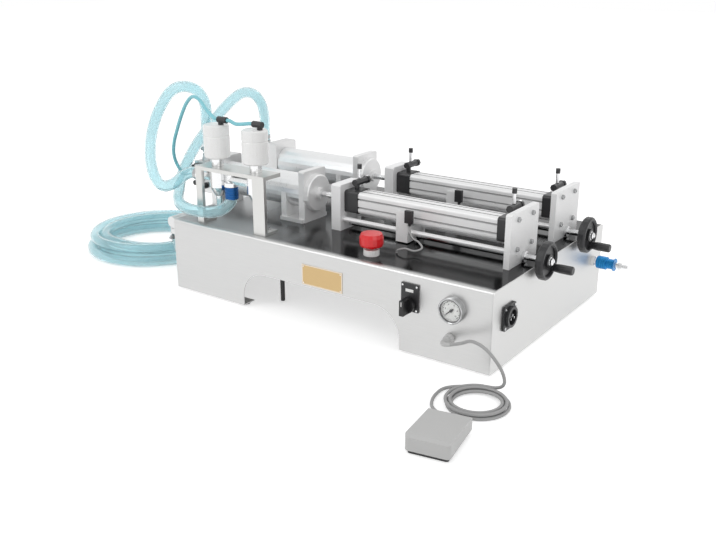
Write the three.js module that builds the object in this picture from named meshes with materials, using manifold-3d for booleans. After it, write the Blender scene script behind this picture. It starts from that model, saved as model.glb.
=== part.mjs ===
// Two-lane pneumatic liquid filling machine with a foot pedal, in millimetres, +Z up.
// While it is drawn, X runs right along the front from the left end panel, Y runs back from
// the front panel and Z up from the floor. At the end the group is shifted, so that the origin
// is the bottom centre of everything but the loose hoses and cables.
import * as THREE from 'three';
import { mergeVertices } from 'three/addons/utils/BufferGeometryUtils.js';
import Module from 'manifold-3d';

const wasm = await Module();
wasm.setup();

// General sizes
const fit = 0.3; // gap between two pieces that touch or run in each other
const overrun = 5; // how far a cutter reaches past the face that it cuts
const roundSides = 18; // sides of a turned piece
const largeSides = 24; // sides of a wide turned piece
const smallSides = 8; // sides of a small pin, screw or port
const arcSteps = 5; // steps of a rounded corner

// Cabinet, with its front and rear panels at Y = 0 and Y = the depth
const cabinetWidth = 800;
const cabinetDepth = 520;
const cabinetHeight = 165;
const sheet = 2;
const foldRadius = 7;
const flangeWidth = 34;
const archWidth = 400;
const archShift = 4; // how far right of the middle the arch lies
const archCentre = cabinetWidth / 2 + archShift;
const archTop = 85;
const archRadius = 60;
const footHeight = 4;
const footRadius = 10;
const footInset = 13; // from the arch's side to the foot's centre
const footSetback = 20; // from the panel to the foot's centre
const propInset = 46; // from the arch's left side to the prop
const propY = 76;
const propRadius = 5;
const propClear = 2; // from the prop's end to the floor
const endReturn = 12; // width of the end panels' folded rim

// Lanes; from here to the controls, heights are given above the deck
// The lane axes' distances from the front, in shares of the cabinet's depth
const laneShares = [0.346, 0.738];
const laneYs = laneShares.map((share) => share * cabinetDepth);
const gripDegrees = [-40, -62];
const axisZ = 63;
const leftPlateHalf = 38;
const leftPlateX = 337;
const leftPlateThick = 24;
const leftPlateTop = 100;
const rightPlateHalf = 60;
const rightPlateSetback = 44; // from the cabinet's right end to the plate's left face
const rightPlateX = cabinetWidth - rightPlateSetback;
const rightPlateThick = 12;
const rightPlateTop = 106;
const plateChamfer = 3;
const boltSpread = 31;
const boltRise = 29;
const boltRadius = 4.5;
const boltHead = 4;

// Air cylinder
const capSide = 48;
const capLength = 34;
const capRadius = 6;
const barrelSide = 45;
const barrelRadius = 7;
const grooveWidth = 4;
const grooveDepth = 3.5;
const grooveSpread = 9;
const boreRadius = 20;
const rodRadius = 6;
const airPistonLength = 14;
const airPistonClear = 8; // from the left cap to the air piston at rest
const portRadius = 5;
const portHeight = 15; // from the cap to the flow control's axis
const flowRadius = 7.5;
const flowFront = 10;
const flowBack = 38;
const flowCollar = 9;
const flowCollarLength = 7;
const knobRadius = 5;
const knobStem = 3.5;
const knobHeight = 38;
const knobCap = 10;
const knobBack = 8; // from the port back to the knob

// Lead screw, guides, carriage and handwheel
const screwZ = 12;
const screwRadius = 7;
const screwEnd = 5; // how deep the screw sits in the left plate
const shaftRadius = 6;
const collarRadius = 11;
const collarLength = 6;
const guideRadius = 5;
const guideSpread = 26;
const guideZ = 25;
const wheelClear = 8; // from the cabinet's end to the wheel
const wheelX = cabinetWidth + wheelClear;
const wheelRadius = 37.5;
const wheelRim = 16;
const wheelRimWidth = 9;
const wheelWeb = 6;
const hubRadius = 13;
const wheelEdge = 3;
const gripRadius = 9;
const gripLength = 38;
const gripOffset = 28;
const gripBelly = 1.5;
const carriageShare = 0.35; // the carriage's place at rest between the two plates
const carriageX = leftPlateX + leftPlateThick
  + carriageShare * (rightPlateX - leftPlateX - leftPlateThick);
const carriageLength = 28;
const carriageHalf = 34;
const carriageBottom = 2.5;
const carriageTop = 35;
const bracketThick = 6;
const bracketTop = 66;
const sensorLength = 14;
const sensorDepth = 10;
const sensorSetout = 4; // from the bracket's front face to the sensor's middle
const sensorTop = 73;
const sensorBottom = 47;
const leadPortRadius = 3;
const leadPortLength = 6;

// Filling cylinder
const tubeRadius = 37;
const tubeBore = 33;
const tubeLeft = 12;
const tubeLength = 249;
const tubeRight = tubeLeft + tubeLength;
const pistonLength = 20;
const pistonRest = 60;
const pistonGroove = 2;
const headThick = 30;
const headHalf = 38;
const headTop = 115;
const blockLeft = -76;
const blockHalf = 30;
const blockBottom = 23;
const blockTop = 97;
const outletX = -58;
const outletRadius = 15;
const outletHeight = 14;
const outletRing = 17;
const outletRingHeight = 5;
const pilotRadius = 5;
const pilotLength = 12;
const pilotX = -50;
const pilotZ = 67;
const discRadius = 41;
const discThick = 14;
const bushRadius = 13;
const bushLength = 10;
const saddleLeft = 197;
const saddleWall = 14;
const saddleBase = 8;
const saddleHalf = 44;

// Suction manifold and hoses
const hoseRadius = 13;
const riserX = -34;
const manifoldZ = -19;
const manifoldRadius = 13;
const manifoldFront = 40;
const dropRadius = 12;
const dropBottom = -47;
const dropRing = 15;
const dropRingHeight = 12;
const manifoldCap = 8;
const tubeSides = 8;
const loopSides = 6;
const loopSteps = 24;
const samplesPerPoint = 60;

// Nozzle stand and nozzles
const nozzleXs = [102, 212];
const nozzleY = 46;
const barLeft = 62;
const barRight = 258;
const barFront = 16;
const barBack = 70;
const barBottom = 119;
const barThick = 8;
const uprightWidths = [18, 32]; // left and right
const uprightThick = 8;
const standFoot = 40;
const standFootThick = 6;
const chamberRadius = 20;
const chamberBottom = 81;
const coneBottom = 61;
const spoutRadius = 9;
const spoutBottom = 33;
const nozzleBore = 5;
const neckRadius = 13;
const neckTop = 144;
const armRadius = 11;
const armZ = 101;
const armReaches = [57, 73];
const clampRadius = 15.5;
const clampLength = 9;
const dropEnd = 86;
const stemRadius = 3;
const stemTop = 131;
const stemPlug = 4;
const stemLow = 5;
const canRadius = 28;
const canBottom = 145;
const canTop = 217;
const canRim = 3;
const canLid = 24;
const canGroove = 2;
const airPortOffset = 15;
const airPortRadius = 6;
const airPortZ = 228;
const elbowRadius = 7;
const elbowLength = 11;

// Controls; the emergency stop's heights are given above the deck, the others above the floor
const estopSetback = 294; // setbacks run from the cabinet's right end to a control's middle
const estopX = cabinetWidth - estopSetback;
const estopY = 48;
const estopCollar = 16;
const estopCollarTop = 13;
const estopShank = 8;
const estopBore = 5;
const estopHeadRadius = 24;
const estopNeck = 11;
const estopHeadTop = 46;
const estopTravel = 5;
// The head's profile from its neck up, in shares of its radius and of its height over the neck
const estopHeadShares = [[0.94, 0.06], [1, 0.2], [1, 0.68], [0.88, 0.94]];
const shankLength = 26;
const nutThick = 5;
const nutRadius = 15;
const switchShank = 8;
const selectorSetback = 172;
const selectorX = cabinetWidth - selectorSetback;
const selectorZ = 118;
const selectorWidth = 38;
const selectorHeight = 55;
const selectorThick = 3;
const knobZ = 105;
const selectorKnobRadius = 15;
const selectorKnobLength = 11;
const fingerLength = 18;
const fingerWidth = 9;
const gaugeSetback = 80;
const gaugeX = cabinetWidth - gaugeSetback;
const gaugeZ = 115;
const gaugeRadius = 25;
const gaugeBezel = 3;
const gaugeProud = 13;
const gaugeDial = 5; // depth of the dial under the bezel's face
const gaugeBody = 21;
const gaugeSpindle = 2;
const needleLong = 15;
const needleTail = 6;
const needleHalf = 1.4;
const needleThick = 1.2;
const needleHub = 3;
const needleLift = 1.2;
const needleDegrees = 130; // how far left of straight up the needle rests
const glandSetback = 85;
const glandX = cabinetWidth - glandSetback;
const glandZ = 57;
const glandHex = 10;
const glandHexLength = 6;
const glandDome = 8;
const glandLength = 20;
const glandShank = 6;
const socketY = 60;
const socketZ = 101;
const socketSide = 48;
const socketPlate = 4;
const socketRing = 20;
const socketProud = 10;
const socketRecess = 15;
const socketDepth = 12;
const socketBody = 19;
const inletSetback = 50; // from the rear panel to the inlet's axis
const inletY = cabinetDepth - inletSetback;
const inletZ = 94;
const inletHex = 11;
const inletHexLength = 8;
const inletStem = 6;
const inletCollar = 9;
const inletCollarReach = 60; // reaches run right from the end panel
const inletReach = 80;
const inletTail = 5;
const sleeveStart = 12;
const sleeveEnd = 52;
const sleeveRadius = 14;
const sleeveStep = 11;

// Foot pedal
const pedalX = 11; // from the cabinet's right end to the pedal's front left corner
const pedalY = -307;
const pedalTurn = 10;
const pedalWidth = 75;
const pedalDepth = 104;
const pedalCorner = 7;
const pedalInset = 4; // from the treadle's skirt in to the base's side
const pedalWall = 3;
const pedalRim = 12;
const treadleWall = 2.5;
const treadleBottom = 6;
const treadleTop = 30;
const treadleSlope = 3; // the front is this much higher and the rear this much lower
const treadleLip = 8;
const treadleDrop = 4;
const pinRadius = 3;
const pinBack = 12;
const pinZ = 13;
const pedalBoss = 6;
const pedalBossLength = 9;
const pedalBossAcross = 18;
const pedalBossZ = 8;
const cableRadius = 3;
const airTubeRadius = 4;
const leadRadius = 2;
const leadExitShift = 6; // from the sensor's port to the hole where its lead leaves the deck
const leadExitY = 86;

// Small helpers that join, cut and place geometry
function weld(geometry) {
  geometry.deleteAttribute('normal');
  geometry.deleteAttribute('uv');
  const merged = mergeVertices(geometry);
  const kept = [];
  const index = merged.index.array;
  for (let i = 0; i < index.length; i += 3) {
    const [a, b, c] = [index[i], index[i + 1], index[i + 2]];
    if (a !== b && b !== c && c !== a) kept.push(a, b, c);
  }
  merged.setIndex(kept);
  return merged;
}

function solidOf(geometry) {
  const closed = weld(geometry);
  const vertProperties = new Float32Array(closed.attributes.position.array);
  const triVerts = new Uint32Array(closed.index.array);
  return new wasm.Manifold(new wasm.Mesh({ numProp: 3, vertProperties, triVerts }));
}

function geometryOf(solid) {
  const mesh = solid.getMesh();
  const geometry = new THREE.BufferGeometry();
  geometry.setAttribute('position', new THREE.BufferAttribute(mesh.vertProperties, 3));
  geometry.setIndex(new THREE.BufferAttribute(mesh.triVerts, 1));
  return geometry;
}

function join(...pieces) {
  const solids = pieces.map(solidOf);
  return geometryOf(solids.reduce((whole, piece) => whole.add(piece)));
}

function cut(body, ...cutters) {
  const solids = cutters.map(solidOf);
  return geometryOf(solids.reduce((whole, piece) => whole.subtract(piece), solidOf(body)));
}

function common(a, b) {
  return geometryOf(solidOf(a).intersect(solidOf(b)));
}

function box(x0, x1, y0, y1, z0, z1) {
  const geometry = new THREE.BoxGeometry(x1 - x0, y1 - y0, z1 - z0);
  return geometry.translate((x0 + x1) / 2, (y0 + y1) / 2, (z0 + z1) / 2);
}

// A cylinder along X, Y or Z from a start to an end, through the other two coordinates.
function rodX(radius, x0, x1, y, z, sides = smallSides) {
  const geometry = new THREE.CylinderGeometry(radius, radius, x1 - x0, sides);
  return geometry.rotateZ(-Math.PI / 2).translate((x0 + x1) / 2, y, z);
}

function rodY(radius, y0, y1, x, z, sides = smallSides) {
  const geometry = new THREE.CylinderGeometry(radius, radius, y1 - y0, sides);
  return geometry.translate(x, (y0 + y1) / 2, z);
}

function rodZ(radius, z0, z1, x, y, sides = smallSides) {
  const geometry = new THREE.CylinderGeometry(radius, radius, z1 - z0, sides);
  return geometry.rotateX(Math.PI / 2).translate(x, y, (z0 + z1) / 2);
}

// Cutters whose flats clear a round piece of the given radius by the fit, whatever its sides.
function clearOf(radius, sides) {
  return (radius + fit) / Math.cos(Math.PI / sides);
}

function boreX(radius, x0, x1, y, z, sides = smallSides) {
  return rodX(clearOf(radius, sides), x0, x1, y, z, sides);
}

function boreY(radius, y0, y1, x, z, sides = smallSides) {
  return rodY(clearOf(radius, sides), y0, y1, x, z, sides);
}

function boreZ(radius, z0, z1, x, y, sides = smallSides) {
  return rodZ(clearOf(radius, sides), z0, z1, x, y, sides);
}

// A turned piece from [radius, height] points, revolved about Z, X or -Y.
function turnedZ(points, x, y, sides = roundSides) {
  const profile = points.map(([radius, height]) => new THREE.Vector2(radius, height));
  return new THREE.LatheGeometry(profile, sides).rotateX(Math.PI / 2).translate(x, y, 0);
}

function turnedX(points, y, z, sides = roundSides) {
  const profile = points.map(([radius, height]) => new THREE.Vector2(radius, height));
  return new THREE.LatheGeometry(profile, sides).rotateZ(-Math.PI / 2).translate(0, y, z);
}

function turnedFront(points, x, z, sides = roundSides) {
  const profile = points.map(([radius, height]) => new THREE.Vector2(radius, height));
  return new THREE.LatheGeometry(profile, sides).rotateX(Math.PI).translate(x, 0, z);
}

// An outline with rounded corners, centred on zero.
function roundedOutline(width, height, radius) {
  const [w, h] = [width / 2, height / 2];
  const shape = new THREE.Shape();
  shape.absarc(w - radius, h - radius, radius, 0, Math.PI / 2);
  shape.absarc(-w + radius, h - radius, radius, Math.PI / 2, Math.PI);
  shape.absarc(-w + radius, -h + radius, radius, Math.PI, Math.PI * 1.5);
  shape.absarc(w - radius, -h + radius, radius, Math.PI * 1.5, Math.PI * 2);
  shape.closePath();
  return shape;
}

function outlineOf(points) {
  return new THREE.Shape(points.map(([a, b]) => new THREE.Vector2(a, b)));
}

// Extrudes a shape drawn in Y and Z along X, or one drawn in X and Z along Y.
function prismX(shape, x0, x1) {
  const options = { depth: x1 - x0, bevelEnabled: false, curveSegments: arcSteps };
  const geometry = new THREE.ExtrudeGeometry(shape, options);
  return geometry.rotateX(Math.PI / 2).rotateZ(Math.PI / 2).translate(x0, 0, 0);
}

function prismY(shape, y0, y1) {
  const options = { depth: y1 - y0, bevelEnabled: false, curveSegments: arcSteps };
  return new THREE.ExtrudeGeometry(shape, options).rotateX(Math.PI / 2).translate(0, y1, 0);
}

function prismZ(shape, z0, z1) {
  const options = { depth: z1 - z0, bevelEnabled: false, curveSegments: arcSteps };
  return new THREE.ExtrudeGeometry(shape, options).translate(0, 0, z0);
}

// Materials
function finish(color, roughness, metalness) {
  return new THREE.MeshStandardMaterial({ color, roughness, metalness });
}

const steel = finish(0xd6d8da, 0.3, 0.9);
const polished = finish(0xe4e6e8, 0.18, 1.0);
const aluminium = finish(0xd9dadb, 0.38, 0.85);
const blackPlastic = finish(0x17181a, 0.45, 0.0);
const whiteEnamel = finish(0xeeeeec, 0.35, 0.1);
const redPlastic = finish(0xd2201c, 0.35, 0.0);
const blueAnodised = finish(0x1878c0, 0.3, 0.4);
const paleHose = finish(0xa9d8e2, 0.2, 0.0);
const tealTube = finish(0x3fa9a6, 0.3, 0.0);
const greyPlastic = finish(0xb9bbb8, 0.5, 0.0);
const greyCable = finish(0x8f9290, 0.55, 0.0);

const machine = new THREE.Group();
const deck = new THREE.Group(); // what stands on the deck, drawn from the deck up
const rightSide = new THREE.Group(); // the pedal and its cable, drawn from the cabinet's right end
deck.position.z = cabinetHeight;
rightSide.position.x = cabinetWidth;
machine.add(deck, rightSide);
const cordNames = new Set();

function addTo(group, name, geometry, material) {
  const mesh = new THREE.Mesh(weld(geometry), material);
  mesh.name = name;
  group.add(mesh);
  return mesh;
}

// Cabinet: one folded sheet makes the front panel, the deck and the rear panel
function foldOutline() {
  const [d, h, r, t] = [cabinetDepth, cabinetHeight, foldRadius, sheet];
  const base = footHeight;
  const shape = new THREE.Shape();
  shape.moveTo(flangeWidth, base);
  shape.lineTo(0, base);
  shape.lineTo(0, h - r);
  shape.absarc(r, h - r, r, Math.PI, Math.PI / 2, true);
  shape.lineTo(d - r, h);
  shape.absarc(d - r, h - r, r, Math.PI / 2, 0, true);
  shape.lineTo(d, base);
  shape.lineTo(d - flangeWidth, base);
  shape.lineTo(d - flangeWidth, base + t);
  shape.lineTo(d - t, base + t);
  shape.lineTo(d - t, h - r);
  shape.absarc(d - r, h - r, r - t, 0, Math.PI / 2, false);
  shape.lineTo(r, h - t);
  shape.absarc(r, h - r, r - t, Math.PI / 2, Math.PI, false);
  shape.lineTo(t, base + t);
  shape.lineTo(flangeWidth, base + t);
  shape.closePath();
  return shape;
}

function archCutter() {
  const [left, right] = [archCentre - archWidth / 2, archCentre + archWidth / 2];
  const shape = new THREE.Shape();
  shape.moveTo(left, -overrun);
  shape.lineTo(right, -overrun);
  shape.absarc(right - archRadius, archTop - archRadius, archRadius, 0, Math.PI / 2, false);
  shape.absarc(left + archRadius, archTop - archRadius, archRadius, Math.PI / 2, Math.PI, false);
  shape.closePath();
  return prismY(shape, -overrun, cabinetDepth + overrun);
}

function feet() {
  const inset = archWidth / 2 + footInset;
  const pads = [];
  for (const x of [archCentre - inset, archCentre + inset]) {
    for (const y of [footSetback, cabinetDepth - footSetback]) {
      pads.push(rodZ(footRadius, 0, footHeight + sheet / 2, x, y));
    }
  }
  return pads;
}

function baseShell() {
  const folded = prismX(foldOutline(), sheet + fit, cabinetWidth - sheet - fit);
  const open = cut(
    folded,
    archCutter(),
    boreY(glandShank, -overrun, overrun, glandX, glandZ),
    boreY(switchShank, -overrun, overrun, selectorX, knobZ),
    boreY(gaugeBody, -overrun, overrun, gaugeX, gaugeZ, roundSides),
    boreZ(estopShank, cabinetHeight - overrun, cabinetHeight + overrun, estopX, estopY),
  );
  const propX = archCentre - archWidth / 2 + propInset;
  const prop = rodZ(propRadius, propClear, cabinetHeight - sheet / 2, propX, propY);
  return join(open, prop, ...feet());
}

// An end panel is a flat sheet with a folded rim that sits inside the deck and the panels.
function endPanel(x0, x1, inner) {
  const [d, h] = [cabinetDepth, cabinetHeight];
  const panel = prismX(roundedPanel(0, d, footHeight, h, foldRadius), x0, x1);
  const lip = sheet + fit;
  const [rimA, rimB] = inner > 0 ? [x1 - sheet / 2, x1 + endReturn] : [x0 - endReturn, x0 + sheet / 2];
  const clear = foldRadius + lip;
  const outer = box(rimA, rimB, clear, d - clear, footHeight + clear, h - lip);
  const hollow = box(
    rimA - overrun, rimB + overrun, clear + sheet, d - clear - sheet,
    footHeight + clear + sheet, h - lip - sheet,
  );
  return join(panel, cut(outer, hollow));
}

function roundedPanel(y0, y1, z0, z1, radius) {
  const shape = new THREE.Shape();
  shape.moveTo(y0, z0);
  shape.lineTo(y1, z0);
  shape.absarc(y1 - radius, z1 - radius, radius, 0, Math.PI / 2, false);
  shape.absarc(y0 + radius, z1 - radius, radius, Math.PI / 2, Math.PI, false);
  shape.closePath();
  return shape;
}

function addCabinet() {
  const right = cabinetWidth - sheet;
  addTo(machine, 'base_shell', baseShell(), steel);
  addTo(machine, 'end_left', endPanel(0, sheet, 1), steel);
  const rightPanel = cut(
    endPanel(right, cabinetWidth, -1),
    boreX(socketBody, right - overrun, cabinetWidth + overrun, socketY, socketZ, roundSides),
    boreX(inletStem, right - overrun, cabinetWidth + overrun, inletY, inletZ),
  );
  addTo(machine, 'end_right', rightPanel, steel);
}

// Lane plates, drawn with the lane's axis at Y = 0
function lanePlate(x, thick, top, half) {
  const c = plateChamfer;
  const outline = outlineOf([
    [-half, fit], [half, fit], [half, top - c], [half - c, top], [c - half, top], [-half, top - c],
  ]);
  return prismX(outline, x, x + thick);
}

function leftPlate() {
  const right = leftPlateX + leftPlateThick;
  const blank = lanePlate(leftPlateX, leftPlateThick, leftPlateTop, leftPlateHalf);
  const drilled = cut(
    blank,
    boreX(rodRadius, leftPlateX - overrun, right + overrun, 0, axisZ),
    boreX(screwRadius, right - screwEnd - fit, right + overrun, 0, screwZ),
  );
  const guideEnd = rightPlateX + rightPlateThick;
  const guides = [-guideSpread, guideSpread].map((y) => rodX(guideRadius, leftPlateX, guideEnd, y, guideZ));
  return join(drilled, ...guides);
}

function rightPlate() {
  const face = rightPlateX + rightPlateThick;
  const start = rightPlateX - overrun;
  const bores = [-guideSpread, guideSpread].map((y) => (
    boreX(guideRadius, start, face + overrun, y, guideZ)
  ));
  const blank = lanePlate(rightPlateX, rightPlateThick, rightPlateTop, rightPlateHalf);
  const drilled = cut(blank, boreX(screwRadius, start, face + overrun, 0, screwZ), ...bores);
  const bolts = [];
  for (const y of [-boltSpread, boltSpread]) {
    for (const z of [axisZ - boltRise, axisZ + boltRise]) {
      bolts.push(rodX(boltRadius, face - boltHead, face + boltHead, y, z, smallSides));
    }
  }
  return join(drilled, ...bolts);
}

// Air cylinder: two caps with flow controls and a grooved barrel between them
function flowControl(x) {
  const top = axisZ + capSide / 2;
  const z = top + portHeight;
  return join(
    rodZ(portRadius, top - overrun, z, x, 0),
    rodY(flowRadius, -flowFront, flowBack, x, z),
    rodY(flowCollar, flowBack - flowCollarLength, flowBack, x, z),
    rodZ(knobStem, z, z + knobHeight, x, knobBack),
    rodZ(knobRadius, z + knobHeight - knobCap, z + knobHeight, x, knobBack),
  );
}

function capBlock(x0, x1) {
  const outline = roundedOutline(capSide, capSide, capRadius);
  return prismX(outline, x0, x1).translate(0, 0, axisZ);
}

function leftCap() {
  const x0 = leftPlateX + leftPlateThick + fit;
  const x1 = x0 + capLength;
  const bored = cut(capBlock(x0, x1), boreX(rodRadius, x0 - overrun, x1 + overrun, 0, axisZ));
  return join(bored, flowControl((x0 + x1) / 2));
}

function rightCap() {
  const x1 = rightPlateX - fit;
  const x0 = x1 - capLength;
  return join(capBlock(x0, x1), flowControl((x0 + x1) / 2));
}

// The barrel's section: a rounded square with two grooves in each side and a round bore.
function barrelSection() {
  const half = barrelSide / 2;
  const side = [];
  for (const centre of [-grooveSpread, grooveSpread]) {
    const [a, b] = [centre - grooveWidth / 2, centre + grooveWidth / 2];
    side.push([half, a], [half - grooveDepth, a], [half - grooveDepth, b], [half, b]);
  }
  const r = barrelRadius;
  const corner = half - r;
  const shape = new THREE.Shape();
  shape.moveTo(half, -corner);
  for (let quarter = 0; quarter < 4; quarter += 1) {
    const turn = (quarter * Math.PI) / 2;
    const [c, s] = [Math.cos(turn), Math.sin(turn)];
    for (const [u, v] of side) shape.lineTo(u * c - v * s, u * s + v * c);
    shape.absarc(corner * (c - s), corner * (s + c), r, turn, turn + Math.PI / 2, false);
  }
  shape.closePath();
  return shape;
}

function barrel() {
  const x0 = leftPlateX + leftPlateThick + capLength + 2 * fit;
  const x1 = rightPlateX - capLength - 2 * fit;
  const outside = prismX(barrelSection(), x0, x1).translate(0, 0, axisZ);
  return cut(outside, rodX(boreRadius, x0 - overrun, x1 + overrun, 0, axisZ, roundSides));
}

// The drive rod carries the filling piston at its left end and the air piston at its right end.
function driveRod() {
  const [a, b] = [pistonRest, pistonRest + pistonLength];
  const c = leftPlateX + leftPlateThick + capLength + airPistonClear;
  const d = c + airPistonLength;
  const filling = tubeBore - fit;
  const air = boreRadius - fit * 2;
  const groove = filling - pistonGroove;
  const third = pistonLength / 3;
  return turnedX([
    [0, a], [filling, a], [filling, a + third], [groove, a + third], [groove, b - third],
    [filling, b - third], [filling, b], [rodRadius, b], [rodRadius, c], [air, c], [air, d], [0, d],
  ], 0, axisZ);
}

function leadScrew() {
  const face = rightPlateX + rightPlateThick + fit;
  const left = leftPlateX + leftPlateThick - screwEnd;
  return turnedX([
    [0, left], [screwRadius, left], [screwRadius, face], [collarRadius, face],
    [collarRadius, face + collarLength], [shaftRadius, face + collarLength],
    [shaftRadius, wheelX + wheelRim - wheelEdge], [0, wheelX + wheelRim - wheelEdge],
  ], 0, screwZ, roundSides);
}

// The handwheel is a dished disc with a thick rounded rim; its bore takes the screw's shaft.
function handwheel() {
  const [x0, x1] = [wheelX, wheelX + wheelRim];
  const web = (x0 + x1) / 2;
  const inner = wheelRadius - wheelRimWidth;
  const bore = shaftRadius + fit;
  return turnedX([
    [bore, x0], [hubRadius, x0], [hubRadius, web - wheelWeb / 2], [inner, web - wheelWeb / 2],
    [inner, x0 + wheelEdge], [inner + wheelEdge, x0], [wheelRadius - wheelEdge, x0],
    [wheelRadius, x0 + wheelEdge], [wheelRadius, x1 - wheelEdge], [wheelRadius - wheelEdge, x1],
    [inner + wheelEdge, x1], [inner, x1 - wheelEdge], [inner, web + wheelWeb / 2],
    [hubRadius, web + wheelWeb / 2], [hubRadius, x1], [bore, x1], [bore, x0],
  ], 0, screwZ, largeSides);
}

function wheelWithGripSeat(degrees) {
  const angle = THREE.MathUtils.degToRad(degrees);
  const [y, z] = [Math.cos(angle) * gripOffset, Math.sin(angle) * gripOffset];
  const seat = rodX(gripRadius, wheelX + wheelEdge, wheelX + wheelRim, y, screwZ + z, roundSides);
  return join(handwheel(), seat);
}

function grip(degrees) {
  const angle = THREE.MathUtils.degToRad(degrees);
  const [y, z] = [Math.cos(angle) * gripOffset, Math.sin(angle) * gripOffset];
  const x0 = wheelX + wheelRim + fit;
  const x1 = x0 + gripLength;
  const waist = gripRadius - gripBelly;
  return turnedX([
    [0, x0], [waist, x0], [gripRadius, x0 + gripLength / 3], [gripRadius, x1 - gripBelly * 2],
    [waist, x1], [0, x1],
  ], y, screwZ + z, smallSides + 2);
}

// The carriage rides on the screw and both guides and holds the sensor in front of the barrel.
function carriage() {
  const [x0, x1] = [carriageX, carriageX + carriageLength];
  const body = box(x0, x1, -carriageHalf, carriageHalf, carriageBottom, carriageTop);
  const front = -carriageHalf;
  const back = front + bracketThick;
  const bracket = box(x0, x1, front, back, carriageTop - overrun, bracketTop);
  const middle = front - sensorSetout;
  const [y0, y1] = [middle - sensorDepth / 2, middle + sensorDepth / 2];
  const sensor = box(x1 - overrun / 2, x1 + sensorLength, y0, y1, sensorBottom, sensorTop);
  const [p0, p1] = [sensorBottom - leadPortLength, sensorBottom + overrun];
  const port = rodZ(leadPortRadius, p0, p1, sensorPortX(), middle);
  const bores = [-guideSpread, guideSpread].map((y) => (
    boreX(guideRadius, x0 - overrun, x1 + overrun, y, guideZ)
  ));
  const screwBore = boreX(screwRadius, x0 - overrun, x1 + overrun, 0, screwZ, roundSides);
  return join(cut(body, screwBore, ...bores), bracket, sensor, port);
}

function sensorPortX() {
  return carriageX + carriageLength + sensorLength / 2;
}

// Filling cylinder: a plain tube between the valve block's head and the end bracket
function fillingTube() {
  const [x0, x1] = [tubeLeft + fit, tubeRight];
  return turnedX(
    [[tubeBore, x0], [tubeRadius, x0], [tubeRadius, x1], [tubeBore, x1], [tubeBore, x0]],
    0, axisZ, largeSides,
  );
}

// The end bracket: a saddle and a square plate on a base, and the round end that closes the tube.
function endBracket() {
  const disc = tubeRight + fit;
  const plate = lanePlate(disc - saddleWall, saddleWall + sheet, headTop, headHalf);
  const saddle = box(saddleLeft, saddleLeft + saddleWall, -headHalf, headHalf, fit, axisZ);
  const base = box(saddleLeft, disc, -saddleHalf, saddleHalf, fit, fit + saddleBase);
  const seat = boreX(tubeRadius, saddleLeft - overrun, disc, 0, axisZ, largeSides);
  const end = turnedX([
    [rodRadius + fit, disc], [discRadius, disc], [discRadius, disc + discThick - sheet],
    [discRadius - sheet, disc + discThick], [bushRadius, disc + discThick],
    [bushRadius, disc + discThick + bushLength], [rodRadius + fit, disc + discThick + bushLength],
    [rodRadius + fit, disc],
  ], 0, axisZ, largeSides);
  const rodHole = boreX(rodRadius, disc - overrun, disc + discThick + overrun, 0, axisZ);
  return join(cut(join(base, saddle, plate), seat, rodHole), end);
}

// The valve block's head closes the tube; the block itself overhangs the left end panel.
function valveBlock(hasPilot) {
  const block = box(blockLeft, tubeLeft - sheet, -blockHalf, blockHalf, blockBottom, blockTop);
  const head = lanePlate(tubeLeft - headThick, headThick, headTop, headHalf);
  const outlet = turnedZ([
    [0, blockTop - overrun], [outletRadius, blockTop - overrun], [outletRadius, blockTop + outletHeight],
    [0, blockTop + outletHeight],
  ], outletX, 0, roundSides);
  const ring = rodZ(outletRing, blockTop, blockTop + outletRingHeight, outletX, 0, roundSides);
  const pieces = [head, block, outlet, ring];
  if (hasPilot) {
    pieces.push(rodY(pilotRadius, -blockHalf - pilotLength, overrun - blockHalf, pilotX, pilotZ));
  }
  return join(...pieces);
}

function addLane(index) {
  const lane = new THREE.Group();
  const tag = `_${index + 1}`;
  lane.position.y = laneYs[index];
  addTo(lane, `left_plate${tag}`, leftPlate(), aluminium);
  addTo(lane, `right_plate${tag}`, rightPlate(), aluminium);
  addTo(lane, `cap_left${tag}`, leftCap(), blackPlastic);
  addTo(lane, `cap_right${tag}`, rightCap(), blackPlastic);
  addTo(lane, `barrel${tag}`, barrel(), aluminium);
  addTo(lane, `drive_rod${tag}`, driveRod(), polished);
  addTo(lane, `lead_screw${tag}`, leadScrew(), polished);
  addTo(lane, `handwheel${tag}`, wheelWithGripSeat(gripDegrees[index]), blackPlastic);
  addTo(lane, `crank_grip${tag}`, grip(gripDegrees[index]), blackPlastic);
  addTo(lane, `sensor_carriage${tag}`, carriage(), aluminium);
  addTo(lane, `filling_tube${tag}`, fillingTube(), polished);
  addTo(lane, `end_bracket${tag}`, endBracket(), steel);
  addTo(lane, `valve_block${tag}`, valveBlock(index === 0), steel);
  deck.add(lane);
}

// Suction manifold: a pipe outside the left end panel with a riser under each valve block
function manifold() {
  const back = laneYs[1] + manifoldRadius + manifoldCap;
  const risers = laneYs.map((y) => (
    rodZ(manifoldRadius, manifoldZ, blockBottom - fit, riserX, y, roundSides)
  ));
  const front = manifoldFront - dropRing;
  return join(
    rodY(manifoldRadius, front, back, riserX, manifoldZ, roundSides),
    ...risers,
    rodZ(dropRadius, dropBottom, manifoldZ, riserX, manifoldFront, roundSides),
    rodZ(dropRing, dropBottom, dropBottom + dropRingHeight, riserX, manifoldFront, roundSides),
  );
}

// Nozzle stand: two uprights with feet under a cross plate that holds both nozzles
function nozzleStand() {
  const bar = box(barLeft, barRight, barFront, barBack, barBottom, barBottom + barThick);
  const starts = [barLeft, barRight - uprightWidths[1]];
  const legs = starts.map((x, side) => join(
    box(x, x + uprightWidths[side], barFront, barFront + uprightThick, fit, barBottom + sheet),
    box(x, x + uprightWidths[side], barFront, barFront + standFoot, fit, fit + standFootThick),
  ));
  const holes = nozzleXs.map((x) => (
    boreZ(neckRadius, barBottom - overrun, barBottom + barThick + overrun, x, nozzleY, roundSides)
  ));
  return cut(join(bar, ...legs), ...holes);
}

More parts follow.
